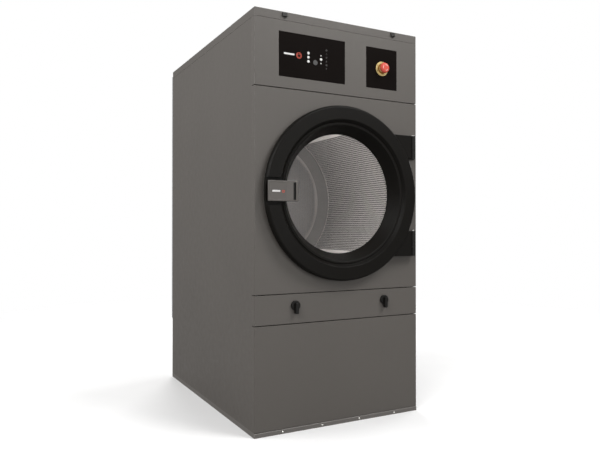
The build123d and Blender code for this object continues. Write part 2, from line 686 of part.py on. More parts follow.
def belt_outline(offset):
    """The outline round both pulleys at a given distance outside them."""
    big, small = DRUM_PULLEY_R + offset, MOTOR_PULLEY_R + offset
    dx, dz = MOTOR_X, MOTOR_Z - DRUM_Z
    heading = atan2(dz, dx)
    spread = acos((big - small) / hypot(dx, dz))
    sides = (heading + spread, heading - spread)
    upper = [(big * cos(a), big * sin(a)) for a in sides]
    lower = [(dx + small * cos(a), dz + small * sin(a)) for a in reversed(sides)]
    return Circle(big) + Pos(dx, dz) * Circle(small) + make_face(Polyline(*upper, *lower, close=True))


def drum_belt():
    """The ribbed belt round the drum pulley and the motor pulley."""
    y0, y1 = PULLEY_Y
    loop = belt_outline(BELT_GAP + BELT_THICK) - belt_outline(BELT_GAP)
    return Pos(0, y0 + 2, DRUM_Z) * extrude(Plane.XZ * loop, -(y1 - y0 - 4))


def drive_motor():
    """The drum motor: finned case and feet, bored for its shaft."""
    y0, y1 = 915.0, 1085.0
    case = rod_y(MOTOR_X, MOTOR_Z, MOTOR_R - 8, y0, y1)
    case = fillet(case.edges().filter_by(GeomType.CIRCLE), 6.0)
    for i in range(18):
        fin = box(MOTOR_R - 12, MOTOR_R, y0 + 20, y1 - 25, -1.5, 1.5)
        case += Pos(MOTOR_X, 0, MOTOR_Z) * Rot(0, 20 * i + 10, 0) * fin
    case += box(MOTOR_X - 50, MOTOR_X + 50, y0 + 30, y1 - 35, MOTOR_Z - 80, MOTOR_Z - 60)
    return case - rod_y(MOTOR_X, MOTOR_Z, 9 + RUNNING, y0 - 5, y1 - 12)


def motor_pulley():
    """The motor's shaft with its flanged pulley."""
    y0, y1 = PULLEY_Y
    return turned([
        (0, y0 - 3), (28, y0 - 3), (28, y0 - 1), (MOTOR_PULLEY_R, y0), (MOTOR_PULLEY_R, y1), (28, y1 + 1),
        (28, y1 + 3), (9, y1 + 3), (9, 1070), (0, 1070)], MOTOR_X, MOTOR_Z)


# ---------------------------------------------------------------- air path
HEATER = (-230.0, 230.0, 800.0, 1105.0, 1290.0, 1630.0)
HEATER_ROWS = [1350.0 + 44.0 * i for i in range(6)]
HEATER_LINES = (930.0, 965.0, 1000.0)
AIR_BOX_HALF = 262.0
AIR_BOX_Y = (62.0, 782.0)


def heater_box():
    """The heater's housing: open at the back, with its outlet low in front."""
    x0, x1, y0, y1, z0, z1 = HEATER
    housing = open_box(*HEATER) - box(x0 + SHEET, x1 - SHEET, y1 - 5, y1 + 5, z0 + SHEET, z1 - SHEET)
    housing -= box(-HEATER_OUTLET_X, HEATER_OUTLET_X, y0 - 5, y0 + 5, *HEATER_OUTLET_Z)
    for z in (HEATER_OUTLET_Z[0] - SHEET, HEATER_OUTLET_Z[1]):
        housing += box(-HEATER_OUTLET_X, HEATER_OUTLET_X, BULKHEAD_Y + 2, y0 + 1, z, z + SHEET)
    return housing


def heater_elements():
    """Straight sheathed elements across the heater box."""
    x0, x1 = HEATER[0] + SHEET, HEATER[1] - SHEET
    return Compound(children=[rod_x(y, z, 4.0, x0, x1) for y in HEATER_LINES for z in HEATER_ROWS])


def air_box():
    """The plenum under the lint drawer, with the drawer's rails and the outlet sleeve."""
    y0, y1 = AIR_BOX_Y
    rail_z = DRAWER_Z[0] - 1
    shell = open_box(-AIR_BOX_HALF, AIR_BOX_HALF, y0, y1, 250, 552)
    shell -= box(-AIR_BOX_HALF + SHEET, AIR_BOX_HALF - SHEET, y0 + SHEET, y1 - SHEET, 500, 560)
    shell -= box(-AIR_BOX_HALF + SHEET, AIR_BOX_HALF - SHEET, y0 - 5, y0 + 5, rail_z, 560)
    for side in (-1, 1):
        edge = side * (AIR_BOX_HALF - 1)
        shell += box(edge, edge - side * 24, y0, y1 - 5, rail_z - SHEET, rail_z)
    x0, x1 = SUCTION_X
    z0, z1 = SUCTION_Z
    sleeve = box(x0, x1, y1 - 1, BULKHEAD_Y, z0, z1)
    shell += sleeve
    return shell - box(x0 + SHEET, x1 - SHEET, y1 - 10, BULKHEAD_Y + 5, z0 + SHEET, z1 - SHEET)


def filter_front():
    """The lint drawer's front, between the door panel and the lower panel."""
    pan = front_pan(LOWER_TOP + SEAM, STRIP_TOP)
    return pan - [rod_y(side * LOCK_X, LOCK_Z, 5 + RUNNING, -1, 10) for side in (-1, 1)]


def filter_tray():
    """The drawer's frame, with arms forward to its front and a ledge for the screen."""
    x1 = DRAWER_HALF
    y0, y1 = DRAWER_Y
    z0, z1 = DRAWER_Z
    tray = box(-x1, x1, y0, y1, z0, z1) - box(-x1 + SHEET, x1 - SHEET, y0 + SHEET, y1 - SHEET, z0 - 1, z1 + 1)
    ledge = box(-x1, x1, y0, y1, z0, z0 + SHEET) - box(-x1 + 14, x1 - 14, y0 + 14, y1 - 14, z0 - 1, z0 + 5)
    tray += ledge
    for side in (-1, 1):
        tray += box(side * x1, side * (x1 - SHEET), RETURN, y0 + 1, z0 + 5, z0 + 45)
        tray += box(side * x1, side * (x1 + 20), RETURN, RETURN + SHEET, z0 + 5, z0 + 45)
    return tray


def lint_screen():
    """The fine screen in its frame, lying on the drawer's ledge."""
    x1 = DRAWER_HALF - SHEET - 1
    y0, y1 = DRAWER_Y[0] + SHEET + 1, DRAWER_Y[1] - SHEET - 1
    z0 = DRAWER_Z[0] + SHEET
    screen = box(-x1, x1, y0, y1, z0, z0 + 6)
    step_x, step_y = (2 * x1 - 6) / 3, (y1 - y0 - 6) / 3
    for i in range(3):
        for j in range(3):
            cell_x, cell_y = -x1 + 6 + i * step_x, y0 + 6 + j * step_y
            screen -= box(cell_x, cell_x + step_x - 6, cell_y, cell_y + step_y - 6, z0 + 1, z0 + 10)
    return screen


def lock_knob(side):
    """A quarter-turn knob: rosette, hanging wing, stem and cam."""
    x = side * LOCK_X
    rosette = rod_y(x, LOCK_Z, 20.0, -9, -0.4)
    rosette = fillet(rosette.edges().filter_by(GeomType.CIRCLE).sort_by(Axis.Y)[0], 2.5)
    wing = box(x - 7, x + 7, -22, -6, LOCK_Z - 33, LOCK_Z + 12)
    wing = fillet(wing.edges().filter_by(Axis.Y), 5.0)
    wing = fillet(wing.edges().group_by(Axis.Y)[0], 2.0)
    stem = rod_y(x, LOCK_Z, 5.0, -1, 28)
    cam = box(x + side * 7, x - side * 56, 24.5, 27.5, LOCK_Z - 7, LOCK_Z + 7)
    return rosette + wing + stem + cam


def scroll_face(wall):
    """The fan casing's spiral in the YZ plane, with its outlet at the bottom rear."""
    points = []
    for i in range(25):
        turn = radians(270 * i / 24)
        reach = 128 + 27 * i / 24 - wall
        points.append((FAN_Y + reach * cos(turn), FAN_Z + reach * sin(turn)))
    spiral = Spline(*points)
    bottom = points[-1]
    lip = points[0]
    tail = Polyline(bottom, (lip[0] - 5, bottom[1]), lip)
    return make_face(Plane.YZ * (Wire([spiral.edge()] + list(tail.edges()))))


def suction_box():
    """The box that leads air from the bulkhead's opening to the fan's eye."""
    right = -SCROLL_HALF
    shell = open_box(*SUCTION_BOX)
    shell -= box(*SUCTION_X, SUCTION_BOX[2] - 5, SUCTION_BOX[2] + 5, *SUCTION_Z)
    return shell - rod_x(FAN_Y, FAN_Z, EYE_R, right - 5, right + 5)


def scroll():
    """The spiral casing: an eye on the left, the shaft's hole on the right, open to the duct."""
    half = SCROLL_HALF
    casing = extrude(Pos(-half, 0, 0) * scroll_face(0), 2 * half, dir=(1, 0, 0))
    casing += box(-half, half, FAN_Y, DUCT_Y[0], *DUCT_Z)
    casing -= extrude(Pos(SHEET - half, 0, 0) * scroll_face(SHEET), 2 * (half - SHEET), dir=(1, 0, 0))
    casing -= box(SHEET - half, half - SHEET, FAN_Y, DUCT_Y[0] + 20, DUCT_Z[0] + SHEET, DUCT_Z[1] - SHEET)
    casing -= rod_x(FAN_Y, FAN_Z, EYE_R, -half - 5, -half + 5)
    return casing - rod_x(FAN_Y, FAN_Z, 12, half - 5, half + 5)


def outlet_duct():
    """The square duct to the exhaust, with a round plate in the collar and two lugs for the flap."""
    half = SCROLL_HALF
    duct = box(-half, half, DUCT_Y[0], SPOUT_END, *DUCT_Z)
    duct += rod_y(0, SPIGOT_Z, 97.0, DUCT_Y[1] - SHEET, DUCT_Y[1])
    for side in (-1, 1):
        lug_x = side * (FLAP_HALF + 1)
        duct += box(lug_x, lug_x + side * SHEET, DUCT_Y[1] - 1, FLAP_Y + 3, FLAP_Z - 8, FLAP_Z + 3)
    duct -= rod_x(FLAP_Y, FLAP_Z, FLAP_ROD_R + RUNNING, -FLAP_HALF - 5, FLAP_HALF + 5)
    return duct - box(SHEET - half, half - SHEET, DUCT_Y[0] - 1, SPOUT_END + 1,
                      DUCT_Z[0] + SHEET, DUCT_Z[1] - SHEET)


def blower_housing():
    """The fan's casing, bolted together from three sheet boxes."""
    return Compound(children=[suction_box(), scroll(), outlet_duct()])


def blower_impeller():
    """The squirrel-cage wheel with its hub and the fan motor's shaft."""
    plate = rod_x(FAN_Y, FAN_Z, FAN_R, 44, 46)
    ring = rod_x(FAN_Y, FAN_Z, FAN_R, -50, -46) - rod_x(FAN_Y, FAN_Z, FAN_R - 20, -60, -40)
    wheel = plate + ring + rod_x(FAN_Y, FAN_Z, 22, 10, 46) + rod_x(FAN_Y, FAN_Z, 8, 46, 235)
    blades = []
    for i in range(30):
        blade = Pos(0, FAN_R - 10, 0) * Rot(35, 0, 0) * Box(94, 19, 1.5)
        blades.append(Pos(-1, FAN_Y, FAN_Z) * Rot(12 * i, 0, 0) * blade)
    return wheel + blades


def fan_motor():
    """The fan's motor on its stool, bored for the shaft."""
    case = rod_x(FAN_Y, FAN_Z, 66, 66, 245)
    case = fillet(case.edges().filter_by(GeomType.CIRCLE), 6.0)
    case += [rod_x(FAN_Y, FAN_Z, 70, x, x + 3) for x in range(95, 220, 10)]
    case += rod_x(FAN_Y, FAN_Z, 80, SCROLL_HALF, SCROLL_HALF + 6)
    stool = box(100, 210, FAN_Y - 55, FAN_Y + 55, BASE_H, FAN_Z - 50)
    stool -= box(90, 220, FAN_Y - 50, FAN_Y + 50, BASE_H + 4, FAN_Z - 75)
    bolt_bar = box(85, 225, BULKHEAD_Y + 4, DEPTH - 10, BASE_H, BASE_H + 4)
    return case + stool + bolt_bar - rod_x(FAN_Y, FAN_Z, 8 + RUNNING, SCROLL_HALF - 5, 238)


def exhaust_spigot():
    """The outlet collar for the exhaust duct, on a flange behind the rear panel."""
    inner = SPIGOT_R - SHEET
    collar = tube_y(0, SPIGOT_Z, SPIGOT_R, inner, DEPTH - 8, SPIGOT_END)
    flange = tube_y(0, SPIGOT_Z, SPIGOT_R + 25, inner, DEPTH - SHEET, DEPTH + 0.5)
    return collar + flange


def exhaust_damper():
    """The non-return flap: a plate that hangs from its rod and shuts the duct's mouth."""
    half = FLAP_THICK / 2
    plate = box(-FLAP_HALF, FLAP_HALF, FLAP_Y - half, FLAP_Y + half, FLAP_Z - FLAP_DROP, FLAP_Z)
    return plate + rod_x(FLAP_Y, FLAP_Z, FLAP_ROD_R, -FLAP_HALF - 4, FLAP_HALF + 4)


# ---------------------------------------------------------------- all pieces
def make_all():
    os.makedirs("parts", exist_ok=True)
    plain = (
        base_frame, frame_posts, top_cover, top_cover_clips, control_fascia, door_panel, lower_panel,
        rear_panel, rear_cover, panel_screws, exhaust_spigot, exhaust_damper, cable_gland,
        display_panel, status_leds, estop_plate, estop_collar, estop_stem, estop_cap,
        electrical_tray, control_board, motor_inverter,
        door_ring, door_back_ring, door_glass, glass_clamp_ring, door_seal, door_handle,
        door_knuckles, hinge_brackets, hinge_pins, door_magnet,
        drum_shell, drum_back, drum_lifters, drum_shaft, drum_pulley, drum_bearings,
        rear_bulkhead, drum_belt, drive_motor, motor_pulley,
        heater_box, heater_elements, air_box, filter_front, filter_tray, lint_screen,
        blower_housing, blower_impeller, fan_motor)
    for make in plain:
        save(make.__name__, make())
    for side, name in ((-1, "left"), (1, "right")):
        save(f"side_panel_{name}", side_panel(side))
        save(f"lock_knob_{name}", lock_knob(side))
    for name, (x, z, radius) in KEYS.items():
        save(name, push_key(x, z, radius))


make_all()
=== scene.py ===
import bmesh
import bpy
import json
from math import cos, hypot, pi, radians, sin
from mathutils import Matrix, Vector


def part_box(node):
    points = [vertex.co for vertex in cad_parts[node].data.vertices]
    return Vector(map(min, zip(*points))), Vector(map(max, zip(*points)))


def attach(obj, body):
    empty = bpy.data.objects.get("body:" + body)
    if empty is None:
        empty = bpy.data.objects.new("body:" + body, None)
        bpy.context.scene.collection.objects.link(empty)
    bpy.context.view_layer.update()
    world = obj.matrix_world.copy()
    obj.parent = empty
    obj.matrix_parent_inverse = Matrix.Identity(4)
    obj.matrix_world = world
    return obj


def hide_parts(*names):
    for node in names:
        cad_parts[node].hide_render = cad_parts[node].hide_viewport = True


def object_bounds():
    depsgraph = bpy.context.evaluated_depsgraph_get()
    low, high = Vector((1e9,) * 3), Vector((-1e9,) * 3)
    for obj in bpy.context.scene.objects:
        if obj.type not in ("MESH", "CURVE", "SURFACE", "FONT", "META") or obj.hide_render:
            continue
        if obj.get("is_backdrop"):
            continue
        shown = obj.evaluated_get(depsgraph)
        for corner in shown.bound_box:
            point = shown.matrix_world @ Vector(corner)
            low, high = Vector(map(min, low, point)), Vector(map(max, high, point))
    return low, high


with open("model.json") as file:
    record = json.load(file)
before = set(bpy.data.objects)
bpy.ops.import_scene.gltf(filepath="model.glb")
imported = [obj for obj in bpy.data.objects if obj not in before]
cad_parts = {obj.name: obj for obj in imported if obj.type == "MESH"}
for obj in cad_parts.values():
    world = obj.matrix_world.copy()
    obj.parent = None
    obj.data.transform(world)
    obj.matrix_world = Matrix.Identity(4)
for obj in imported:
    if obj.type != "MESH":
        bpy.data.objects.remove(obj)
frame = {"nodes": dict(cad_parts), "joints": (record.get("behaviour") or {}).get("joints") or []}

# A commercial tumble dryer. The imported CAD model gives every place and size; this script
# adds the looks: finishes on the CAD pieces, and finer pieces where the plain CAD shape
# isn't enough (the perforated drum, the stop button, the grip plate, the screw heads, the symbols).

CAD_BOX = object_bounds()
JOINTS = {joint["name"]: joint for joint in frame["joints"]}

# ---------------------------------------------------------------- places, from the frame
MM = 0.001
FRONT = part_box("door_panel")[0].y           # plane of the front panels
DRUM_Z = JOINTS["drum_spin"]["pos_m"][2]    # height of the drum's axis, in metres
AXIS_Z = DRUM_Z / MM                        # the same in millimetres


def at(x, y, z):
    """A point from millimetres: x from the middle, y back from the front panels, z up."""
    return Vector((x * MM, FRONT + y * MM, z * MM))


# ---------------------------------------------------------------- node materials
NOISE_SPAN = (0.3, 0.7)     # nearly all values of a noise lie between these
RANGE_SOCKETS = ("From Min", "From Max", "To Min", "To Max")
EDGE_MATCH = (0.8, 0.98)    # rounded against true normal: an edge, and a flat face
DIMPLE = (0.002, 0.005)     # radius of a spot weld's flat middle and of its rim, in metres
ZINC_DARK = (0.46, 0.47, 0.48)
ZINC_LIGHT = (0.56, 0.57, 0.58)
GLASS_TONES = ((0.955, 0.95, 0.945), (0.98, 0.975, 0.97))
WIRE_TONES = ((0.05, 0.05, 0.05), (0.5, 0.5, 0.49))
BOARD_TONES = ((0.06, 0.22, 0.08), (0.015, 0.09, 0.04))


class Shader:
    """A node material being built: add() makes a node and links or sets its inputs."""

    def __init__(self, name):
        self.material = bpy.data.materials.new(name)
        self.material.use_nodes = True
        self.tree = self.material.node_tree
        self.tree.nodes.clear()
        self.base = self.add("ShaderNodeBsdfPrincipled")
        output = self.add("ShaderNodeOutputMaterial")
        self.tree.links.new(self.base.outputs["BSDF"], output.inputs["Surface"])
        self.coords = self.add("ShaderNodeTexCoord").outputs["Object"]

    def add(self, kind, _props=None, **inputs):
        node = self.tree.nodes.new(kind)
        for key, value in (_props or {}).items():
            setattr(node, key, value)
        for key, value in inputs.items():
            numbered = key[0] == "i" and key[1:].isdigit()
            socket = node.inputs[int(key[1:]) if numbered else key]
            if isinstance(value, bpy.types.NodeSocket):
                self.tree.links.new(value, socket)
            else:
                socket.default_value = value
        return node

    def noise(self, scale, detail, stretch=(1, 1, 1)):
        """Noise between 0 and 1; stretch lengthens it along an axis."""
        vector = self.coords
        if tuple(stretch) != (1, 1, 1):
            squeeze = tuple(1 / s for s in stretch)
            vector = self.add("ShaderNodeMapping", Vector=vector, Scale=squeeze).outputs[0]
        return self.add("ShaderNodeTexNoise", Vector=vector, Scale=scale, Detail=detail).outputs["Fac"]

    def ramp(self, value, low, high, to_low=0.0, to_high=1.0):
        node = self.add("ShaderNodeMapRange", Value=value)
        for name, number in zip(RANGE_SOCKETS, (low, high, to_low, to_high)):
            node.inputs[name].default_value = number
        return node.outputs["Result"]

    def cloud(self, scale, detail, low=0.0, high=1.0):
        """Noise spread out to run from low to high."""
        return self.ramp(self.noise(scale, detail), *NOISE_SPAN, low, high)

    def tones(self, colour, dark, light, scale, detail):
        """A colour that varies slightly in clouds."""
        return self.mix(self.cloud(scale, detail), tint(colour, dark), tint(colour, light))

    def mix(self, factor, first, second):
        node = self.add("ShaderNodeMix", {"data_type": "RGBA"})
        for socket, value in ((node.inputs[0], factor), (node.inputs[6], first), (node.inputs[7], second)):
            if isinstance(value, bpy.types.NodeSocket):
                self.tree.links.new(value, socket)
            elif isinstance(value, float):
                socket.default_value = value
            else:
                socket.default_value = (*value, 1.0)
        return node.outputs[2]

    def math(self, operation, first, second=0.0):
        return self.add("ShaderNodeMath", {"operation": operation}, i0=first, i1=second).outputs[0]

    def bump(self, height, distance, strength, below=None):
        node = self.add("ShaderNodeBump", Height=height, Distance=distance, Strength=strength)
        if below is not None:
            self.tree.links.new(below, node.inputs["Normal"])
        return node.outputs["Normal"]

    def set(self, name, value):
        socket = self.base.inputs[name]
        if isinstance(value, bpy.types.NodeSocket):
            self.tree.links.new(value, socket)
        elif hasattr(socket.default_value, "__len__") and len(value) == 3:
            socket.default_value = (*value, 1.0)
        else:
            socket.default_value = value


def tint(colour, factor):
    return tuple(min(1.0, c * factor) for c in colour)


def edge_wear_and_painted_highlight(shader, colour, lighter, amount, radius):
    """A slightly lighter tone within a small distance of an edge: edge wear, and a painted highlight where
    a rounded edge would catch the light.
    """
    rounded = shader.add("ShaderNodeBevel", {"samples": 4}, Radius=radius).outputs["Normal"]
    flat = shader.add("ShaderNodeNewGeometry").outputs["Normal"]
    match = shader.add("ShaderNodeVectorMath", {"operation": "DOT_PRODUCT"}, i0=rounded, i1=flat)
    edge = shader.ramp(match.outputs["Value"], *EDGE_MATCH, amount, 0.0)
    return shader.mix(edge, colour, lighter)


def powder_coat(name, colour, rough=0.5, dimples=()):
    """Fine-textured powder coat, with faint spot-weld dimples where rows are given."""
    shader = Shader(name)
    cloud = shader.cloud(2.2, 4)
    speck = shader.ramp(shader.noise(1500, 2), 0.35, 0.65)
    tone = shader.mix(cloud, tint(colour, 0.965), tint(colour, 1.035))
    tone = shader.mix(shader.math("MULTIPLY", speck, 0.18), tone, tint(colour, 1.25))
    # Edges twice as light: a painted highlight along the folds and seams, where the light catches them.
    shader.set("Base Color", edge_wear_and_painted_highlight(shader, tone, tint(colour, 2.0), 0.9, 0.0026))
    shader.set("Roughness", shader.cloud(35, 5, rough - 0.05, rough + 0.06))
    normal = shader.bump(shader.noise(1100, 3), 0.00012, 0.35)
    normal = shader.bump(shader.noise(7, 2), 0.004, 0.025, normal)
    for z, y_low, y_high, pitch in dimples:
        normal = shader.bump(weld_row(shader, z, y_low, y_high, pitch), 0.0004, 0.5, normal)
    shader.set("Normal", normal)
    shader.set("Specular IOR Level", 0.42)
    return shader.material


def weld_row(shader, z, y_low, y_high, pitch):
    """A row of round dimples along Y at one height, as a height map."""
    axes = shader.add("ShaderNodeSeparateXYZ", Vector=shader.coords)
    y, height = axes.outputs[1], axes.outputs[2]
    along = shader.math("PINGPONG", shader.math("SUBTRACT", y, y_low), pitch / 2)
    along = shader.math("SUBTRACT", along, pitch / 2)
    up = shader.math("SUBTRACT", height, z)
    span = shader.math("ADD", shader.math("MULTIPLY", along, along), shader.math("MULTIPLY", up, up))
    dot = shader.ramp(shader.math("SQRT", span), *DIMPLE)
    past_low = shader.math("GREATER_THAN", y, y_low)
    inside = shader.math("MULTIPLY", past_low, shader.math("LESS_THAN", y, y_high))
    gap = shader.math("SUBTRACT", 1.0, dot)
    return shader.math("SUBTRACT", 1.0, shader.math("MULTIPLY", gap, inside))


def moulded(name, colour, rough=0.4, grain=900.0, depth=0.00008, shine=0.4):
    """Moulded plastic with a fine grain and uneven sheen."""
    shader = Shader(name)
    tone = shader.tones(colour, 0.93, 1.07, 9, 4)
    # Lighter edges: faint edge wear with a painted highlight.
    shader.set("Base Color", edge_wear_and_painted_highlight(shader, tone, tint(colour, 1.6), 0.5, 0.0006))
    shader.set("Roughness", shader.cloud(60, 5, rough - 0.04, rough + 0.06))
    shader.set("Normal", shader.bump(shader.noise(grain, 3), depth, 0.5))
    shader.set("Specular IOR Level", shine)
    return shader.material


def film(name, colour, rough, shine):
    """A smooth printed film over a black plate, very slightly uneven."""
    shader = Shader(name)
    shader.set("Base Color", shader.tones(colour, 0.96, 1.05, 4, 3))
    shader.set("Roughness", shader.cloud(5, 2, rough - 0.02, rough + 0.03))
    shader.set("Normal", shader.bump(shader.noise(12, 2), 0.0002, 0.02))
    shader.set("Specular IOR Level", shine)
    return shader.material


def metal(name, colour, rough, brushed, scale, stain=0.06, bump=0.00004, metallic=1.0):
    """Bare or plated metal; brushed stretches its fine marks along an axis."""
    shader = Shader(name)
    streak = shader.noise(scale, 6, brushed)
    tone = shader.tones(colour, 1 - stain, 1 + stain, 5, 4)
    # Lighter edges: faint edge wear with a painted highlight.
    shader.set("Base Color", edge_wear_and_painted_highlight(shader, tone, tint(colour, 1.2), 0.4, 0.0006))
    shader.set("Metallic", metallic)
    shader.set("Roughness", shader.ramp(streak, *NOISE_SPAN, rough - 0.08, rough + 0.1))
    shader.set("Normal", shader.bump(streak, bump, 0.5))
    return shader.material


def galvanised(name):
    """Zinc-coated sheet with its spangle."""
    shader = Shader(name)
    spangle = shader.add("ShaderNodeTexVoronoi", Vector=shader.coords, Scale=120.0).outputs["Color"]
    value = shader.add("ShaderNodeSeparateColor", Color=spangle).outputs[0]
    shader.set("Base Color", shader.mix(value, ZINC_DARK, ZINC_LIGHT))
    shader.set("Metallic", 0.75)
    shader.set("Roughness", shader.ramp(value, 0.0, 1.0, 0.54, 0.64))
    shader.set("Normal", shader.bump(shader.noise(500, 3), 0.00006, 0.4))
    return shader.material


def clear_glass(name):
    """Clear glass, slightly warm, with faint smears."""
    shader = Shader(name)
    smear = shader.ramp(shader.noise(6, 5, (1, 1, 3)), 0.45, 0.8, 0.0, 0.05)
    shader.set("Base Color", shader.mix(shader.cloud(2, 2), *GLASS_TONES))
    shader.set("Roughness", smear)
    shader.set("Transmission Weight", 1.0)
    shader.set("IOR", 1.5)
    return shader.material


def woven_wire(name):
    """Fine wire cloth: crossed waves in height and tone."""
    shader = Shader(name)
    waves = []
    for axis in ("X", "Y"):
        props = {"wave_type": "BANDS", "bands_direction": axis}
        wave = shader.add("ShaderNodeTexWave", props, Vector=shader.coords, Scale=260.0)
        waves.append(wave.outputs["Fac"])
    weave = shader.math("MAXIMUM", *waves)
    shader.set("Base Color", shader.mix(weave, *WIRE_TONES))
    shader.set("Metallic", 0.8)
    shader.set("Roughness", shader.cloud(20, 3, 0.3, 0.5))
    shader.set("Normal", shader.bump(weave, 0.0003, 0.7))
    return shader.material


def circuit_board(name):
    """Green solder mask with faint copper tracks under it."""
    shader = Shader(name)
    props = {"feature": "DISTANCE_TO_EDGE"}
    cells = shader.add("ShaderNodeTexVoronoi", props, Vector=shader.coords, Scale=160.0)
    track = shader.ramp(cells.outputs["Distance"], 0.02, 0.08)
    shader.set("Base Color", shader.mix(track, *BOARD_TONES))
    shader.set("Roughness", shader.cloud(50, 3, 0.25, 0.4))
    shader.set("Normal", shader.bump(track, 0.0001, 0.4))
    return shader.material


PAINT = (0.086, 0.078, 0.070)
EVEN = (1, 1, 1)            # marks not drawn out along any axis
ROLLED = (1, 12, 1)         # marks drawn out along Y
# Rows of dimples: height, first and last Y, and pitch, all in metres.
SIDE_WELDS = (
    (0.600, FRONT + 0.190, FRONT + 0.880, 0.138),
    (0.317, FRONT + 0.366, FRONT + 0.779, 0.138),
    (0.127, FRONT + 0.699, FRONT + 0.861, 0.162),
)
LOOK = {
    "paint": powder_coat("casing_paint", PAINT),
    "side_paint": powder_coat("side_panel_paint", PAINT, dimples=SIDE_WELDS),
    "base": powder_coat("base_paint", (0.118, 0.109, 0.101), 0.45),
    "ring": moulded("door_ring_plastic", (0.0050, 0.0043, 0.0034), 0.46, 700.0, 0.0001, 0.11),
    "black": moulded("black_plastic", (0.0075, 0.0070, 0.0062), 0.45, shine=0.2),
    "clip": moulded("clip_dark_grey", (0.026, 0.025, 0.023), 0.5, shine=0.3),
    "gloss": film("gloss_black_panel", (0.0056, 0.0041, 0.0035), 0.2, 0.07),
    "handle": moulded("grip_grey_plastic", (0.094, 0.086, 0.079), 0.42, 1400.0, 0.00004, 0.3),
    "white": moulded("white_key_plastic", (0.72, 0.72, 0.70), 0.35),
    "grey": moulded("grey_key_plastic", (0.055, 0.054, 0.053), 0.4),
    "red": moulded("stop_red_plastic", (0.60, 0.082, 0.055), 0.46, 900.0, 0.00003, 0.25),
    "yellow": moulded("stop_yellow_plastic", (0.62, 0.47, 0.19), 0.45),
    # Dark orange for the ring round the cap's foot: painted shade under the cap's rim.
    "cap_shade": moulded("stop_disc_painted_shade", (0.27, 0.115, 0.012), 0.5, shine=0.2),
    "orange": moulded("symbol_orange", (0.42, 0.055, 0.030), 0.45),
    "print": moulded("symbol_light_grey", (0.62, 0.61, 0.60), 0.45),
    "faint": moulded("symbol_dark_grey", (0.085, 0.082, 0.080), 0.5),
    "rubber": moulded("seal_rubber", (0.014, 0.014, 0.014), 0.62, 500.0, 0.0001),
    "drum": metal("drum_sheet", (0.80, 0.755, 0.728), 0.5, ROLLED, 90.0, metallic=0.45),
    # The back and its sloping band are the drum's own sheet in darker tones: painted shade, the band
    # darker still.
    "drum_back": metal("drum_back_sheet_painted_shade", (0.53, 0.50, 0.48), 0.5, ROLLED, 90.0, metallic=0.5),
    "drum_band_painted_shade": metal("drum_band_sheet_painted_shade", (0.24, 0.228, 0.218), 0.5, ROLLED, 90.0, metallic=0.4),
    "steel": metal("turned_steel", (0.52, 0.51, 0.50), 0.3, (8, 1, 8), 220.0),
    "ring_steel": metal("door_ring_sheet", (0.50, 0.49, 0.48), 0.4, EVEN, 500.0, 0.03, 0.00002, 0.8),
    "plated": metal("zinc_plated_screws", (0.68, 0.67, 0.64), 0.28, EVEN, 300.0, 0.1),
    "heater": metal("heater_sheath", (0.20, 0.17, 0.15), 0.5, (6, 1, 1), 150.0, 0.25),
    "cast": metal("cast_aluminium", (0.50, 0.50, 0.50), 0.48, EVEN, 240.0, 0.08, 0.0002),
    "zinc": galvanised("galvanised_sheet"),
    "glass": clear_glass("door_glass_clear"),
    # Dark tone for the punched walls of the holes: painted shade inside them.
    "hole": metal("drum_hole_painted_shade", (0.05, 0.048, 0.046), 0.6, ROLLED, 90.0, metallic=0.3),
    "wire": woven_wire("lint_wire_cloth"),
    "board": circuit_board("circuit_board_green"),
}

NODE_LOOKS = {
    "paint": ("top_cover", "control_fascia", "door_panel", "lower_panel", "filter_front"),
    "side_paint": ("side_panel_left", "side_panel_right"),
    "base": ("base_frame",),
    "ring": ("door_ring",),
    "clip": ("top_cover_clips",),
    "black": ("cable_gland", "door_magnet", "glass_clamp_ring", "motor_inverter",
              "hinge_brackets", "door_knuckles", "estop_stem", "lock_knob_left", "lock_knob_right"),
    "gloss": ("display_panel", "estop_plate"),
    "handle": ("door_handle",),
    "white": ("program_key_top", "program_key_middle", "program_key_bottom", "start_key", "status_leds"),
    "grey": ("select_key",),
    "red": ("estop_cap",),
    "yellow": ("estop_collar",),
    "rubber": ("door_seal", "drum_belt"),
    "drum": ("drum_shell", "drum_back", "drum_lifters"),
    "steel": ("hinge_pins", "drum_shaft", "drum_bearings", "motor_pulley"),
    "ring_steel": ("door_back_ring",),
    "plated": ("panel_screws",),
    "heater": ("heater_elements",),
    "cast": ("drum_pulley", "drive_motor", "fan_motor"),
    "zinc": ("frame_posts", "rear_panel", "rear_cover", "exhaust_spigot", "exhaust_damper",
             "electrical_tray", "rear_bulkhead", "heater_box", "air_box", "blower_housing",
             "blower_impeller", "filter_tray"),
    "glass": ("door_glass",),
    "wire": ("lint_screen",),
    "board": ("control_board",),
}
for look, names in NODE_LOOKS.items():
    for node_name in names:
        mesh = frame["nodes"][node_name].data
        mesh.materials.clear()
        mesh.materials.append(LOOK[look])


# ---------------------------------------------------------------- camera, light and floor
# The view: lens and place solved from the casing's own edges.
LENS = 36.04                # focal length and sensor width, in millimetres
SENSOR = 36.0
VIEW_FROM = (-1337.8, -2147.2, 816.7)
VIEW_TILT = 90.358          # degrees up from straight down
VIEW_TURN = -28.0           # degrees about the upright
VIEW_REACH = 60.0           # metres

camera = bpy.data.objects.new("camera", bpy.data.cameras.new("camera"))
bpy.context.scene.collection.objects.link(camera)
camera.data.lens = LENS
camera.data.sensor_width = SENSOR
camera.location = at(*VIEW_FROM)
camera.rotation_euler = (radians(VIEW_TILT), 0, radians(VIEW_TURN))
camera.data.clip_end = VIEW_REACH
bpy.context.scene.camera = camera


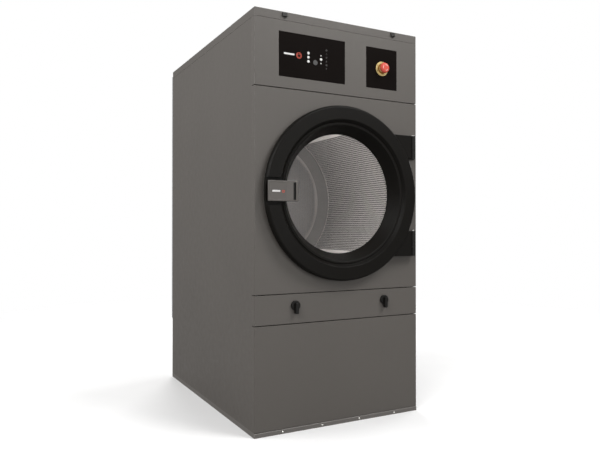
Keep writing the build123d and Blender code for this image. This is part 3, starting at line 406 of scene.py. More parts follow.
def area_light(name, place, target, size, power):
    """A round lamp facing its target; place, target and size in metres, power in watts."""
    data = bpy.data.lights.new(name, "AREA")
    data.shape = "DISK"
    data.size = size
    data.energy = power
    light = bpy.data.objects.new(name, data)
    bpy.context.scene.collection.objects.link(light)
    light.location = place
    light.rotation_euler = (Vector(target) - Vector(place)).to_track_quat("-Z", "Y").to_euler()
    return light


MIDDLE = (0, 0, 0.9)
LOW_FRONT = (0.1, 0, 0.4)
STUDIO_LIGHTS = (
    ("key_light", (2.4, -3.6, 4.9), MIDDLE, 2.6, 206),
    ("left_key", (-3.9, -3.4, 4.0), MIDDLE, 3.0, 168),
    ("left_fill", (-4.6, 1.0, 3.0), MIDDLE, 2.6, 132),
    ("low_fill", (0.6, -4.8, 1.1), LOW_FRONT, 2.4, 36),
    ("back_fill", (1.5, 5.0, 3.6), MIDDLE, 3.0, 160),
    ("right_fill", (4.8, 1.4, 3.0), MIDDLE, 2.6, 70),
)
DRUM_LIGHT_FROM = (-160, 140, AXIS_Z + 40)
DRUM_LIGHT_TO = (330, 330, AXIS_Z - 60)
DRUM_LIGHT_SIZE = 0.3
DRUM_LIGHT_POWER = 3.0

for lamp in STUDIO_LIGHTS:
    area_light(*lamp)
drum_light = area_light("drum_light", at(*DRUM_LIGHT_FROM), at(*DRUM_LIGHT_TO),
                        DRUM_LIGHT_SIZE, DRUM_LIGHT_POWER)
drum_light.visible_camera = False
drum_light.visible_transmission = False
drum_light.visible_glossy = False


ROOM_LIGHT = 0.36
ROOM_COLOUR = (1.0, 0.99, 0.98, 1)
BACKDROP_COLOUR = (1, 1, 1, 1)


def make_world():
    """A dim studio for light and reflections, in front of a white background."""
    world = bpy.data.worlds.new("studio")
    world.use_nodes = True
    nodes, links = world.node_tree.nodes, world.node_tree.links
    room = nodes["Background"]
    room.inputs["Color"].default_value = ROOM_COLOUR
    room.inputs["Strength"].default_value = ROOM_LIGHT
    backdrop = nodes.new("ShaderNodeBackground")
    backdrop.inputs["Color"].default_value = BACKDROP_COLOUR
    backdrop.inputs["Strength"].default_value = 1.0
    choice = nodes.new("ShaderNodeMixShader")
    links.new(nodes.new("ShaderNodeLightPath").outputs["Is Camera Ray"], choice.inputs[0])
    links.new(room.outputs[0], choice.inputs[1])
    links.new(backdrop.outputs[0], choice.inputs[2])
    links.new(choice.outputs[0], nodes["World Output"].inputs["Surface"])
    bpy.context.scene.world = world


make_world()
bpy.context.scene.view_settings.view_transform = "Standard"


# ---------------------------------------------------------------- mesh helpers
WELD = 1e-6                 # metres, points closer than this are one
CREASE = 35.0               # degrees, sharper edges are shaded as edges
FOLD_CREASE = 40.0
SHEET_CREASE = 45.0
RING_CREASE = 50.0
ON_AXIS = 0.001             # millimetres, the radius that stands for a point on an axis
CORNER_STEPS = 6
EDGE_STEPS = 4


def add_piece(name, points, faces, body, look, slot, crease=CREASE):
    """A mesh piece that rides on a body. Points are in the frame's metres."""
    mesh = bpy.data.meshes.new(name)
    mesh.from_pydata([tuple(p) for p in points], [], faces)
    work = bmesh.new()
    work.from_mesh(mesh)
    bmesh.ops.remove_doubles(work, verts=work.verts, dist=WELD)
    bmesh.ops.recalc_face_normals(work, faces=work.faces)
    work.to_mesh(mesh)
    work.free()
    mesh.polygons.foreach_set("use_smooth", [True] * len(mesh.polygons))
    mesh.set_sharp_from_angle(angle=radians(crease))
    mesh.materials.append(LOOK[look])
    piece = bpy.data.objects.new(name, mesh)
    bpy.context.scene.collection.objects.link(piece)
    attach(piece, body)
    return piece


def loft(loops, closed_loop=True, cap=True):
    """Points and faces through loops of equal count, each joined to the next."""
    count = len(loops[0])
    points = [p for loop in loops for p in loop]
    faces = []
    for row in range(len(loops) - 1):
        this, following = row * count, (row + 1) * count
        for i in range(count if closed_loop else count - 1):
            j = (i + 1) % count
            faces.append((this + i, this + j, following + j, following + i))
    if cap:
        faces.append(tuple(range(count)))
        faces.append(tuple((len(loops) - 1) * count + i for i in range(count)))
    return points, faces


def joined(name, parts, body, look, slot, crease=CREASE):
    """One piece from several (points, faces) pairs."""
    points, faces = [], []
    for part_points, part_faces in parts:
        start = len(points)
        points.extend(part_points)
        faces.extend(tuple(start + i for i in face) for face in part_faces)
    return add_piece(name, points, faces, body, look, slot, crease)


def filled(loops):
    """Points and faces of a flat face whose first outline is its edge and the others are holes."""
    work = bmesh.new()
    edges = []
    for loop in loops:
        verts = [work.verts.new(p) for p in loop]
        edges += [work.edges.new((verts[i - 1], verts[i])) for i in range(len(verts))]
    bmesh.ops.triangle_fill(work, edges=edges, use_beauty=True)
    work.verts.index_update()
    result = [v.co.copy() for v in work.verts], [tuple(v.index for v in f.verts) for f in work.faces]
    work.free()
    return result


def circle_xz(x, y, z, radius, segments, start=0.0):
    """A circle in a plane facing the front, in millimetres."""
    steps = [start + 2 * pi * i / segments for i in range(segments)]
    return [at(x + radius * cos(a), y, z + radius * sin(a)) for a in steps]


def turned(name, outline, x, z, body, look, slot, segments=96, closed=False, crease=CREASE):
    """A lathed piece: (radius, y) pairs in millimetres about an axis along Y."""
    loops = [circle_xz(x, y, z, max(radius, ON_AXIS), segments) for radius, y in outline]
    if closed:
        loops.append(loops[0])
    points, faces = loft(loops, cap=not closed)
    return add_piece(name, points, faces, body, look, slot, crease)


def rounded_outline(x0, x1, z0, z1, y, radius):
    """A rectangle facing the front with rounded corners, in millimetres."""
    corners = ((x1 - radius, z1 - radius, 0), (x0 + radius, z1 - radius, 90),
               (x0 + radius, z0 + radius, 180), (x1 - radius, z0 + radius, 270))
    points = []
    for cx, cz, start in corners:
        for i in range(CORNER_STEPS + 1):
            angle = radians(start + 90 * i / CORNER_STEPS)
            points.append(at(cx + radius * cos(angle), y, cz + radius * sin(angle)))
    return points


def soft_plate(name, x0, x1, z0, z1, y_back, y_front, corner, edge, body, look, slot):
    """A plate facing the front, with rounded corners and a rounded front edge."""
    loops = [rounded_outline(x0, x1, z0, z1, y_back, corner)]
    for i in range(EDGE_STEPS + 1):
        angle = radians(90 * i / EDGE_STEPS)
        inset = edge * (1 - cos(angle))
        y = y_front + edge * (1 - sin(angle))
        tight = max(corner - inset, 0.2)
        loops.append(rounded_outline(x0 + inset, x1 - inset, z0 + inset, z1 - inset, y, tight))
    points, faces = loft(loops)
    return add_piece(name, points, faces, body, look, slot)


def ribbon(path, width, closed):
    """Left and right edges of a flat line of one width; path is (x, z) pairs in millimetres."""
    count = len(path)
    left, right = [], []
    for i in range(count):
        before = path[(i - 1) % count] if closed or i else path[0]
        after = path[(i + 1) % count] if closed or i < count - 1 else path[-1]
        dx, dz = after[0] - before[0], after[1] - before[1]
        length = hypot(dx, dz) or 1.0
        nx, nz = -dz / length * width / 2, dx / length * width / 2
        left.append((path[i][0] + nx, path[i][1] + nz))
        right.append((path[i][0] - nx, path[i][1] - nz))
    return left, right


def symbol(name, lines, centre, y, body, look, slot, width=0.8, raised=0.15):
    """A printed symbol: each line is (points, closed) in millimetres round its centre."""
    points, faces = [], []
    for path, closed in lines:
        left, right = ribbon(path, width, closed)
        start = len(points)
        for level in (y, y - raised):
            for (lx, lz), (rx, rz) in zip(left, right):
                points.append(at(centre[0] + lx, level, centre[1] + lz))
                points.append(at(centre[0] + rx, level, centre[1] + rz))
        count = len(path)
        top = 2 * count
        for i in range(count if closed else count - 1):
            j = (i + 1) % count
            a, b, c, d = 2 * i, 2 * i + 1, 2 * j + 1, 2 * j
            faces.append(tuple(start + top + k for k in (a, b, c, d)))
            faces.append((start + a, start + d, start + top + d, start + top + a))
            faces.append((start + b, start + c, start + top + c, start + top + b))
    return add_piece(name, points, faces, body, look, slot)


def arc(radius, start, end, steps=24):
    """Points on an arc round the origin, degrees counter-clockwise from the right."""
    angles = [radians(start + (end - start) * i / steps) for i in range(steps + 1)]
    return [(radius * cos(a), radius * sin(a)) for a in angles]


# ---------------------------------------------------------------- floor
FLOOR_REACH = 4.2
FLOOR_SOLID = 1.5           # radius inside which the floor is opaque
FLOOR_SIDES = 96
FLOOR_TONES = ((0.84, 0.84, 0.84), (0.86, 0.86, 0.86))
FLOOR_BOUNCE = (0.30, 0.30, 0.30)   # what the object sees of the floor


def make_floor():
    """A plain pale studio floor that fades into the white background."""
    shader = Shader("floor_matt")
    pale = shader.mix(shader.cloud(3, 3), *FLOOR_TONES)
    seen = shader.add("ShaderNodeLightPath").outputs["Is Camera Ray"]
    shader.set("Base Color", shader.mix(seen, FLOOR_BOUNCE, pale))
    shader.set("Roughness", 0.7)
    shader.set("Specular IOR Level", 0.1)
    far = shader.add("ShaderNodeVectorMath", {"operation": "LENGTH"}, i0=shader.coords).outputs["Value"]
    shader.set("Alpha", shader.ramp(far, FLOOR_SOLID, FLOOR_REACH, 1.0, 0.0))
    turns = [2 * pi * i / FLOOR_SIDES for i in range(FLOOR_SIDES)]
    loops = [[(r * cos(a), r * sin(a), 0) for a in turns] for r in (FLOOR_SOLID, FLOOR_REACH)]
    points, faces = loft(loops, cap=False)
    faces.append(tuple(range(FLOOR_SIDES)))
    mesh = bpy.data.meshes.new("floor")
    mesh.from_pydata(points, [], faces)
    mesh.materials.append(shader.material)
    floor = bpy.data.objects.new("floor", mesh)
    bpy.context.scene.collection.objects.link(floor)
    floor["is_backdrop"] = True


make_floor()

# ---------------------------------------------------------------- drum
# Millimetres: radii about the drum's axis, y back from the front panels.
DRUM_R = 375.0
DRUM_SHEET = 1.2
DRUM_Y = (59.5, 744.0)
HOLE_PITCH = 10.4
HOLE_R = 4.5
BACK_FLAT_R = 326.0
BACK_Y = 766.0
BACK_HOLES_R = 317.0
EDGE_STRIP = 14.0           # plain sheet before the first holes
FAR_STRIP = 8.0             # least plain sheet after the last holes
BACK_RIM = 6.0              # plain rim round the back's holes
BACK_SIDES = 96
STRIP_STEPS = 12
RING_SIDES = 160
BAND_SIDES = 192
LIFTER_ANGLES = (66.0, 186.0, 306.0)
LIFTER_HALF = 36.5
HOLE_SIDES = 8
HOLE_START = -112.5         # degrees, the first corner of a hole
HOLE_WALL_AREA = 8e-6       # square metres, more than one side of a hole
DRUM_OUTER = DRUM_R + DRUM_SHEET
# Outlines to turn: radius, and y back from the front panels.
FRONT_RING = (
    (302, 74), (301, 72), (300, 68), (300, 62), (302, 59), (305, 58), (371, 58), (374, 58.6),
    (DRUM_OUTER, 61), (DRUM_OUTER, 63), (DRUM_R, 63), (DRUM_R - 0.6, 61), (372, 59.5), (306, 59.5),
    (303.5, 60.5), (301.5, 63), (301.5, 68), (302.4, 71), (303, 73),
)
BACK_BAND = (
    (BACK_HOLES_R + BACK_RIM, BACK_Y), (BACK_FLAT_R - 5, BACK_Y), (BACK_FLAT_R, BACK_Y - 0.6),
    (BACK_FLAT_R + 5, BACK_Y - 2.4), (DRUM_R - 6, DRUM_Y[1] + 4), (DRUM_R - 1.5, DRUM_Y[1] + 0.8),
    (DRUM_R, DRUM_Y[1] - 2), (DRUM_R + 1.2, DRUM_Y[1] - 2), (DRUM_R + 1.2, DRUM_Y[1] + 2),
    (DRUM_R - 4, DRUM_Y[1] + 5), (BACK_FLAT_R + 5, BACK_Y - 0.6), (BACK_FLAT_R - 5, BACK_Y + 1.2),
    (BACK_HOLES_R + BACK_RIM, BACK_Y + 1.2),
)


def perforated(columns, rows, place, edge_low, edge_high, keep=None):
    """Points and faces of a sheet with staggered holes.

    place(u, v, depth) gives a point: u across the columns and v along them, in millimetres.
    edge_low and edge_high are the sheet's ends along v, or None for a ragged edge.
    """
    points, faces, ids = [], [], {}

    def vertex(key, u, v, depth):
        if key not in ids:
            ids[key] = len(points)
            points.append(place(u, v, depth))
        return ids[key]

    def lattice(column, row, depth):
        u = column * HOLE_PITCH
        v = row * HOLE_PITCH + (HOLE_PITCH / 2 if column % 2 else 0)
        return vertex((column, row, depth), u, v, depth)

    def border(column, end, depth):
        edge = edge_low if end == "low" else edge_high
        return vertex((column, end, depth), column * HOLE_PITCH, edge, depth)

    for column in range(columns):
        shift = column % 2
        for row in range(rows):
            centre_u = (column + 0.5) * HOLE_PITCH
            centre_v = (row + 0.75 + 0.5 * shift) * HOLE_PITCH
            if keep and not keep(centre_u, centre_v):
                continue
            rings = []
            for depth in (0.0, DRUM_SHEET):
                corners = (lattice(column, row, depth), lattice(column + 1, row + shift, depth),
                           lattice(column + 1, row + 1 + shift, depth), lattice(column, row + 1, depth))
                ring = []
                for i in range(HOLE_SIDES):
                    angle = radians(HOLE_START + 360 / HOLE_SIDES * i)
                    u, v = centre_u + HOLE_R * cos(angle), centre_v + HOLE_R * sin(angle)
                    ring.append(vertex((column, row, depth, "hole", i), u, v, depth))
                for side in range(4):
                    a, b = corners[side], corners[(side + 1) % 4]
                    first, second = ring[2 * side], ring[2 * side + 1]
                    faces.append((a, b, second, first))
                    faces.append((b, ring[(2 * side + 2) % HOLE_SIDES], second))
                rings.append(ring)
            for i in range(HOLE_SIDES):
                j = (i + 1) % HOLE_SIDES
                faces.append((rings[0][i], rings[0][j], rings[1][j], rings[1][i]))
        if edge_low is None:
            continue
        for depth in (0.0, DRUM_SHEET):
            foot = [border(column, "low", depth), border(column + 1, "low", depth)]
            foot += [lattice(column + 1, row, depth) for row in range(shift + 1)]
            foot += [lattice(column, 0, depth)]
            faces.append(tuple(foot))
            head = [border(column + 1, "high", depth), border(column, "high", depth)]
            head += [lattice(column, row, depth) for row in range(rows + 1 - shift, rows - 1, -1)]
            head += [lattice(column + 1, rows + shift, depth)]
            faces.append(tuple(head))
    return points, faces


def paint_hole_shade(piece, outward):
    """Paints shade on the punched walls of the holes with a dark tone. outward(centre) is the sheet's
    normal.
    """
    piece.data.materials.append(LOOK["hole"])
    for face in piece.data.polygons:
        across = abs(face.normal.dot(outward(face.center))) < 0.5
        if across and face.area < HOLE_WALL_AREA:
            face.material_index = 1


def from_axis(point):
    """The direction away from the drum's axis at a point."""
    return Vector((point.x, 0, point.z - DRUM_Z)).normalized()


def cylinder_place(start_angle):
    """Maps the sheet onto the drum's inside, starting at an angle."""
    def place(u, v, depth):
        angle = radians(start_angle) + u / DRUM_R
        radius = DRUM_R + depth
        return at(radius * cos(angle), v + DRUM_Y[0] + EDGE_STRIP, AXIS_Z + radius * sin(angle))
    return place


def make_drum():
    """The perforated shell in three sectors, the strips under the lifters and the front ring."""
    half_lifter = LIFTER_HALF / DRUM_R * 180 / pi
    span = DRUM_R * radians(120 - 2 * half_lifter)
    columns = int(span / HOLE_PITCH)
    columns -= columns % 2
    slack = (span - columns * HOLE_PITCH) / DRUM_R * 180 / pi / 2
    length = DRUM_Y[1] - DRUM_Y[0]
    rows = int((length - EDGE_STRIP - FAR_STRIP) / HOLE_PITCH - 0.5)
    first = None
    for number, angle in enumerate(LIFTER_ANGLES):
        start = angle + half_lifter + slack
        wrap = cylinder_place(start)
        points, faces = perforated(columns, rows, wrap, -EDGE_STRIP, length - EDGE_STRIP)
        piece = add_piece(f"drum_wall_{number + 1}", points, faces,
                          "drum", "drum", "drum_steel", SHEET_CREASE)
        paint_hole_shade(piece, from_axis)
        first = first or piece
        low, high = radians(angle - half_lifter - slack), radians(angle + half_lifter + slack)
        turns = [low + (high - low) * i / STRIP_STEPS for i in range(STRIP_STEPS + 1)]
        near, far = DRUM_Y
        section = ((DRUM_R, near), (DRUM_OUTER, near), (DRUM_OUTER, far), (DRUM_R, far))
        loops = [[at(r * cos(a), y, AXIS_Z + r * sin(a)) for a in turns] for r, y in section]
        loops.append(loops[0])
        points, faces = loft(loops, closed_loop=False, cap=False)
        add_piece(f"drum_wall_strip_{number + 1}", points, faces,
                  "drum", "drum", "drum_steel", SHEET_CREASE)
    turned("drum_front_ring", FRONT_RING, 0, AXIS_Z, "drum", "drum", "drum_steel",
           RING_SIDES, closed=True, crease=RING_CREASE)
    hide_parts("drum_shell")


def make_drum_back():
    """The dished back: sloping band, flat rim and perforated middle."""
    count = int(2 * BACK_HOLES_R / HOLE_PITCH) + 2
    count -= count % 2
    middle = count * HOLE_PITCH / 2

    def place(u, v, depth):
        return at(u - middle, BACK_Y + depth, AXIS_Z + v - middle)

    def keep(u, v):
        return hypot(u - middle, v - middle) < BACK_HOLES_R - HOLE_PITCH

    points, faces = perforated(count, count, place, None, None, keep)
    mesh = bpy.data.meshes.new("back_work")
    mesh.from_pydata([tuple(p) for p in points], [], faces)
    work = bmesh.new()
    work.from_mesh(mesh)
    bpy.data.meshes.remove(mesh)
    for depth in (0.0, DRUM_SHEET):
        plane = at(0, BACK_Y + depth, 0).y
        outline = circle_xz(0, BACK_Y + depth, AXIS_Z, BACK_HOLES_R + BACK_RIM, BACK_SIDES)
        rim = [work.verts.new(p) for p in outline]
        edges = [work.edges.new((rim[i], rim[(i + 1) % BACK_SIDES])) for i in range(BACK_SIDES)]
        for edge in work.edges:
            if edge.is_boundary and all(abs(v.co.y - plane) < WELD for v in edge.verts):
                edges.append(edge)
        bmesh.ops.triangle_fill(work, edges=edges, use_beauty=True)
    work.verts.index_update()
    points = [v.co.copy() for v in work.verts]
    faces = [tuple(v.index for v in f.verts) for f in work.faces]
    work.free()
    # The back and band take the darker sheet tones: painted shade.
    back = add_piece("drum_back_screen", points, faces, "drum", "drum_back", "drum_steel", SHEET_CREASE)
    paint_hole_shade(back, lambda centre: Vector((0, 1, 0)))
    turned("drum_back_band", BACK_BAND, 0, AXIS_Z, "drum", "drum_band_painted_shade", "drum_steel",
           BAND_SIDES, closed=True, crease=RING_CREASE)
    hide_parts("drum_back")


LIFTER_BASE = (372.5, 35.0)         # radius, distance from the lifter's middle plane
LIFTER_SHOULDER = (324.0, 14.0)
LIFTER_TIP = (312.0, 7.0)
LIFTER_ROUND = ((3, 1.4), (0.8, -0.8), (0, -3))     # the fold's steps from the tip
LIFTER_INSIDE = 0.86                                # the fold's inner width against its outer
LIFTER_Y = (73.0, 728.0)


def lifter_point(angle, radius, side, y):
    """A point of the lifter at an angle; side is the distance from its middle plane."""
    turn = radians(angle)
    x = radius * cos(turn) - side * sin(turn)
    return at(x, y, AXIS_Z + radius * sin(turn) + side * cos(turn))


def lifter_flank(angle, side):
    """One perforated flank, from base to shoulder, with its plain margins."""
    base, shoulder = Vector(LIFTER_BASE), Vector(LIFTER_SHOULDER)
    along = (shoulder - base).normalized()
    inward = Vector((along.y, -along.x))
    if inward.y > 0:
        inward = -inward
    length = (shoulder - base).length
    columns = int(length / HOLE_PITCH) // 2 * 2
    margin = (length - columns * HOLE_PITCH) / 2
    span = LIFTER_Y[1] - LIFTER_Y[0]

    def place(u, v, depth):
        spot = base + along * (margin + u) + inward * depth
        return lifter_point(angle, spot.x, side * spot.y, LIFTER_Y[0] + EDGE_STRIP + v)

    rows = int((span - 2 * EDGE_STRIP) / HOLE_PITCH) - 1
    ends = (-EDGE_STRIP, span - EDGE_STRIP)
    parts = [perforated(columns, rows, place, *ends)]
    for start, end in ((-margin, 0.0), (columns * HOLE_PITCH, columns * HOLE_PITCH + margin)):
        section = ((start, 0), (end, 0), (end, DRUM_SHEET), (start, DRUM_SHEET), (start, 0))
        loops = [[place(u, v, depth) for v in ends] for u, depth in section]
        parts.append(loft(loops, closed_loop=False, cap=False))
    return parts


def lifter_ridge(angle):
    """The folded ridge between the flanks, and the two plain ends."""
    outline = [LIFTER_SHOULDER] + [(LIFTER_TIP[0] + a, LIFTER_TIP[1] + b) for a, b in LIFTER_ROUND]
    outline += [(radius, -side) for radius, side in reversed(outline)]
    inner = [(radius + DRUM_SHEET, side * LIFTER_INSIDE) for radius, side in reversed(outline)]
    section = outline + inner
    loops = [[lifter_point(angle, radius, side, y) for radius, side in section] for y in LIFTER_Y]
    parts = [loft(loops)]
    whole = [LIFTER_BASE] + outline + [(LIFTER_BASE[0], -LIFTER_BASE[1])]
    for y in LIFTER_Y:
        depths = (y, y + (DRUM_SHEET if y == LIFTER_Y[0] else -DRUM_SHEET))
        ends = [[lifter_point(angle, radius, side, depth) for radius, side in whole] for depth in depths]
        parts.append(loft(ends))
    return parts


def flank_normal(angle, centre):
    """The normal of the flank that a point is on."""
    turn = radians(angle)
    across = -centre.x * sin(turn) + (centre.z - DRUM_Z) * cos(turn)
    slope = Vector(LIFTER_BASE) - Vector(LIFTER_SHOULDER)
    side = 1 if across > 0 else -1
    radial, tangent = Vector((-slope.y, slope.x * side)).normalized()
    x = radial * cos(turn) - tangent * sin(turn)
    return Vector((x, 0, radial * sin(turn) + tangent * cos(turn)))


def make_lifters():
    """Three folded lifters with perforated flanks."""
    for number, angle in enumerate(LIFTER_ANGLES):
        parts = lifter_flank(angle, 1) + lifter_flank(angle, -1) + lifter_ridge(angle)
        piece = joined(f"drum_lifter_{number + 1}", parts, "drum", "drum", "drum_steel", FOLD_CREASE)
        paint_hole_shade(piece, lambda centre, a=angle: flank_normal(a, centre))
        if number == 0:
            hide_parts("drum_lifters")


make_drum()
make_drum_back()
make_lifters()


# ---------------------------------------------------------------- printed symbols
PLATE_FACE = -0.8           # front of the two black plates
POWER_MARK = (-201.0, 1518.5)
BAR_MARK = (-269.0, -222.0, 1516.0, 1523.0)
ICON_X = -72.0
ICON_Z = (1557.0, 1541.5, 1526.0, 1510.5, 1495.0, 1481.0)
MARK_RAISED = 0.25
BAR_CORNER = 1.5
BAR_EDGE = 0.15
POWER_SIGN_R = 8.0
POWER_RING_R = 11.5
POWER_LINE = 2.2
ICON_LINE = 0.9


def ring_line(radius, steps=28):
    return arc(radius, 0, 360, steps)[:-1], True


def power_lines(radius):
    """The usual on and off sign: an open ring with a bar at its top."""
    return [(arc(radius, 125, 415, 30), False), ([(0, radius * 0.15), (0, radius * 1.1)], False)]


def display_symbols():
    """A plain pale bar, an on/off sign and a column of small generic icons."""
    soft_plate("display_bar_mark", *BAR_MARK, PLATE_FACE, PLATE_FACE - MARK_RAISED, BAR_CORNER, BAR_EDGE,
               "cabinet", "print", "key_white")
    symbol("display_power_mark", power_lines(POWER_SIGN_R) + [ring_line(POWER_RING_R)],
           POWER_MARK, PLATE_FACE, "cabinet", "orange", "stop_red", POWER_LINE, MARK_RAISED)
    icons = (
        [ring_line(3.2), ([(0, 0), (0, 2.4)], False), ([(0, 0), (1.8, 0)], False)],
        [([(-3, -3), (0, 3), (3, -3)], True)],
        [([(-3.4, y), (-1.2, y + 1.4), (1.2, y), (3.4, y + 1.4)], False) for y in (-2.6, 0, 2.6)],
        [ring_line(1.6), ([(0, 2.6), (0, 4)], False), ([(0, -2.6), (0, -4)], False),
         ([(2.6, 0), (4, 0)], False), ([(-2.6, 0), (-4, 0)], False)],
        [([(-3.2, -3.2), (3.2, -3.2), (3.2, 3.2), (-3.2, 3.2)], True), ring_line(1.8)],
        [([(-2, -3.4), (3, 0), (-2, 3.4)], True)],
    )
    for number, (z, lines) in enumerate(zip(ICON_Z, icons)):
        symbol(f"display_icon_{number + 1}", lines, (ICON_X, z), PLATE_FACE,
               "cabinet", "faint", "key_grey", ICON_LINE)


# ---------------------------------------------------------------- stop button
STOP_X = 208.0
STOP_Z = 1515.0
STOP_PLACE = (STOP_X, STOP_Z)
STOP_DISC_FACE = -3.8
STOP_CAP = (                # outline to turn: radius, y
    (0, -30.9), (9, -30.7), (15, -30.0), (18.6, -28.6), (20.9, -26.4), (22.0, -23.6), (22.3, -21.0),
    (22.0, -19.2), (21.2, -18.2), (20.0, -18.0), (18.4, -18.6), (11.5, -17.0), (9.4, -14.6),
    (9.0, -12.3), (0, -12.3),
)
DISC_ARROWS = (20, 140, 260)        # degrees where each arrow starts
DISC_ARROW_R = 26.4
DISC_ARROW_SPAN = 66
DISC_ARROW_HEAD = (62, 74)          # degrees of the head's foot and tip
DISC_ARROW_HALF = 2.2
DISC_ARROW_LINE = 1.3
# The dark orange ring under the cap's rim, a painted shade: radius, width and height.
CAP_SHADE_R = 19.0
CAP_SHADE_WIDTH = 7.0
CAP_SHADE_RAISED = 0.12
CAP_ARROWS = (30, 150, 270)
CAP_ARROW_R = 12.5
CAP_ARROW_SPAN = 60
CAP_ARROW_LINE = 1.4
CAP_ARROW_RAISED = 0.35
CAP_CROWN = -30.3


def stop_button():
    """A broad flat mushroom cap, and turning arrows on the yellow disc."""
    cap = turned("stop_cap_mushroom", STOP_CAP, STOP_X, STOP_Z, "stop_cap", "red", "stop_red")
    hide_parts("estop_cap")
    arrows = []
    for turn in DISC_ARROWS:
        arrows.append((arc(DISC_ARROW_R, turn, turn + DISC_ARROW_SPAN, 16), False))
        foot, tip = (radians(turn + angle) for angle in DISC_ARROW_HEAD)
        outer, inner = DISC_ARROW_R + DISC_ARROW_HALF, DISC_ARROW_R - DISC_ARROW_HALF
        corners = ((DISC_ARROW_R, tip), (outer, foot), (inner, foot))
        arrows.append(([(radius * cos(angle), radius * sin(angle)) for radius, angle in corners], True))
    symbol("stop_disc_arrows", arrows, STOP_PLACE, STOP_DISC_FACE,
           "cabinet", "black", "black_plastic", DISC_ARROW_LINE)
    # A dark orange ring on the disc just round the cap: painted shade under the cap's rim.
    symbol("stop_disc_shade_ring", [ring_line(CAP_SHADE_R, 64)], STOP_PLACE, STOP_DISC_FACE,
           "cabinet", "cap_shade", "stop_yellow", CAP_SHADE_WIDTH, CAP_SHADE_RAISED)
    crown = [(arc(CAP_ARROW_R, turn, turn + CAP_ARROW_SPAN, 12), False) for turn in CAP_ARROWS]
    symbol("stop_cap_arrows", crown, STOP_PLACE, CAP_CROWN,
           "stop_cap", "white", "key_white", CAP_ARROW_LINE, CAP_ARROW_RAISED)


# ---------------------------------------------------------------- grip plate
GRIP = (-361.0, -229.0, 924.0, 1005.0)      # x low, x high, z low, z high
GRIP_FACE = -52.0
GRIP_SHEET = 6.0
GRIP_CORNER = 3.0
GRIP_EDGE = 2.5
GRIP_EDGE_STEPS = 6
POCKET = (-354.5, -284.0, 931.0, 998.0)
POCKET_CORNER = 2.5
POCKET_DEPTH = 0.9
POCKET_STEPS = ((0.0, 0.0), (0.35, 0.1), (0.8, 0.55), (1.1, POCKET_DEPTH))    # inset, depth
SLOT = (-252.5, -241.0, 930.0, 999.0)
SLOT_CORNER = 1.2
SLOT_DEPTH = 4.5
GRIP_BAR = (-344.0, -310.0, 960.0, 967.0)
GRIP_BAR_RAISED = 0.3
GRIP_SIGN = (-296.5, 963.0)
GRIP_SIGN_R = 4.6
GRIP_SIGN_LINE = 2.4
GRIP_SIGN_RAISED = 0.3


def grip_plate():
    """The grip: a soft-edged plate with a shallow pocket for its mark and a blind finger slot."""
    x0, x1, z0, z1 = GRIP
    rim = [rounded_outline(x0, x1, z0, z1, GRIP_FACE + GRIP_SHEET, GRIP_CORNER)]
    for i in range(GRIP_EDGE_STEPS + 1):
        angle = radians(90 / GRIP_EDGE_STEPS * i)
        inset = GRIP_EDGE * (1 - cos(angle))
        y = GRIP_FACE + GRIP_EDGE * (1 - sin(angle))
        rim.append(rounded_outline(x0 + inset, x1 - inset, z0 + inset, z1 - inset, y, GRIP_CORNER - inset))
    sides, side_faces = loft(rim, cap=False)
    back = len(rim[0])
    side_faces.append(tuple(range(back)))
    x0, x1, z0, z1 = POCKET
    pocket = []
    for inset, depth in POCKET_STEPS:
        y = GRIP_FACE + depth
        pocket.append(rounded_outline(x0 + inset, x1 - inset, z0 + inset, z1 - inset, y, POCKET_CORNER))
    walls, wall_faces = loft(pocket, cap=False)
    wall_faces.append(tuple(len(walls) - back + i for i in range(back)))
    slot = [rounded_outline(*SLOT, y, SLOT_CORNER) for y in (GRIP_FACE, GRIP_FACE + SLOT_DEPTH)]
    parts = [(sides, side_faces), (walls, wall_faces), filled([rim[-1], pocket[0], slot[0]])]
    plate = joined("grip_plate", parts, "door", "handle", "handle_grey")
    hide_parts("door_handle")
    lining, lining_faces = loft(slot, cap=False)
    lining_faces.append(tuple(len(lining) - back + i for i in range(back)))
    add_piece("grip_slot_lining", lining, lining_faces, "door", "black", "black_plastic")
    mark_y = GRIP_FACE + POCKET_DEPTH
    soft_plate("grip_bar_mark", *GRIP_BAR, mark_y, mark_y - GRIP_BAR_RAISED, BAR_CORNER, BAR_EDGE,
               "door", "print", "key_white")
    symbol("grip_round_mark", power_lines(GRIP_SIGN_R), GRIP_SIGN, mark_y,
           "door", "orange", "stop_red", GRIP_SIGN_LINE, GRIP_SIGN_RAISED)


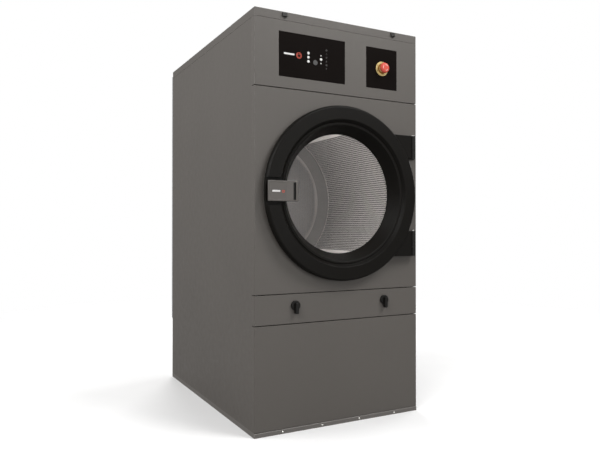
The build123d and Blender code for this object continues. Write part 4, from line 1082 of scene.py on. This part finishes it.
# ---------------------------------------------------------------- screws
SCREW_HEAD_R = 4.2
SCREW_HEAD = 1.8            # height of the dome
SCREW_RINGS = (0.0, 0.4, 0.8, 1.2, 1.6, 2.0, 2.4, 2.8, 3.3, 3.8, SCREW_HEAD_R)
SCREW_SIDES = 32
CROSS_HALF = 0.55           # half width, reach and depth of the cross recess
CROSS_REACH = 2.5
CROSS_DEPTH = 1.0
SCREW_SUNK = 0.3            # how far the head's rim goes into the sheet
SCREW_TURN = 0.7            # radians from one screw's cross to the next
BASE_SCREW_X = (-273.5, -91.0, 91.0, 273.5)
BASE_SCREW_Z = 7.0
REAR_FACE = 1142.0
COVER_SCREW_X = 385.5
COVER_SCREW_Z = (345, 670, 995, 1320, 1630)
# Each screw: x, y, z, and the way its head faces along Y.
SCREWS = [(x, 0.0, BASE_SCREW_Z, -1) for x in BASE_SCREW_X]
SCREWS += [(side * COVER_SCREW_X, REAR_FACE, z, 1) for side in (-1, 1) for z in COVER_SCREW_Z]


def screw_head(x, y, z, facing, turn):
    """A domed head with a cross recess, as points and faces."""
    loops = []
    for radius in SCREW_RINGS:
        loop = []
        for i in range(SCREW_SIDES):
            angle = 2 * pi * i / SCREW_SIDES
            across, along = radius * cos(angle), radius * sin(angle)
            height = SCREW_HEAD * (1 - (radius / SCREW_HEAD_R) ** 3)
            if min(abs(across), abs(along)) < CROSS_HALF and radius < CROSS_REACH:
                height -= CROSS_DEPTH
            sweep = angle + turn
            loop.append(at(x + radius * cos(sweep), y + facing * height, z + radius * sin(sweep)))
        loops.append(loop)
    loops.append(circle_xz(x, y - facing * SCREW_SUNK, z, SCREW_HEAD_R, SCREW_SIDES, turn))
    return loft(loops)


def screw_heads():
    """All the screw heads on the casing, as one piece."""
    parts = [screw_head(*place, number * SCREW_TURN) for number, place in enumerate(SCREWS)]
    heads = joined("panel_screw_heads", parts, "cabinet", "plated", "screw_steel", FOLD_CREASE)
    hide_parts("panel_screws")


display_symbols()
stop_button()
grip_plate()
screw_heads()

[[list(corner) for corner in box] for box in (CAD_BOX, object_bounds())]
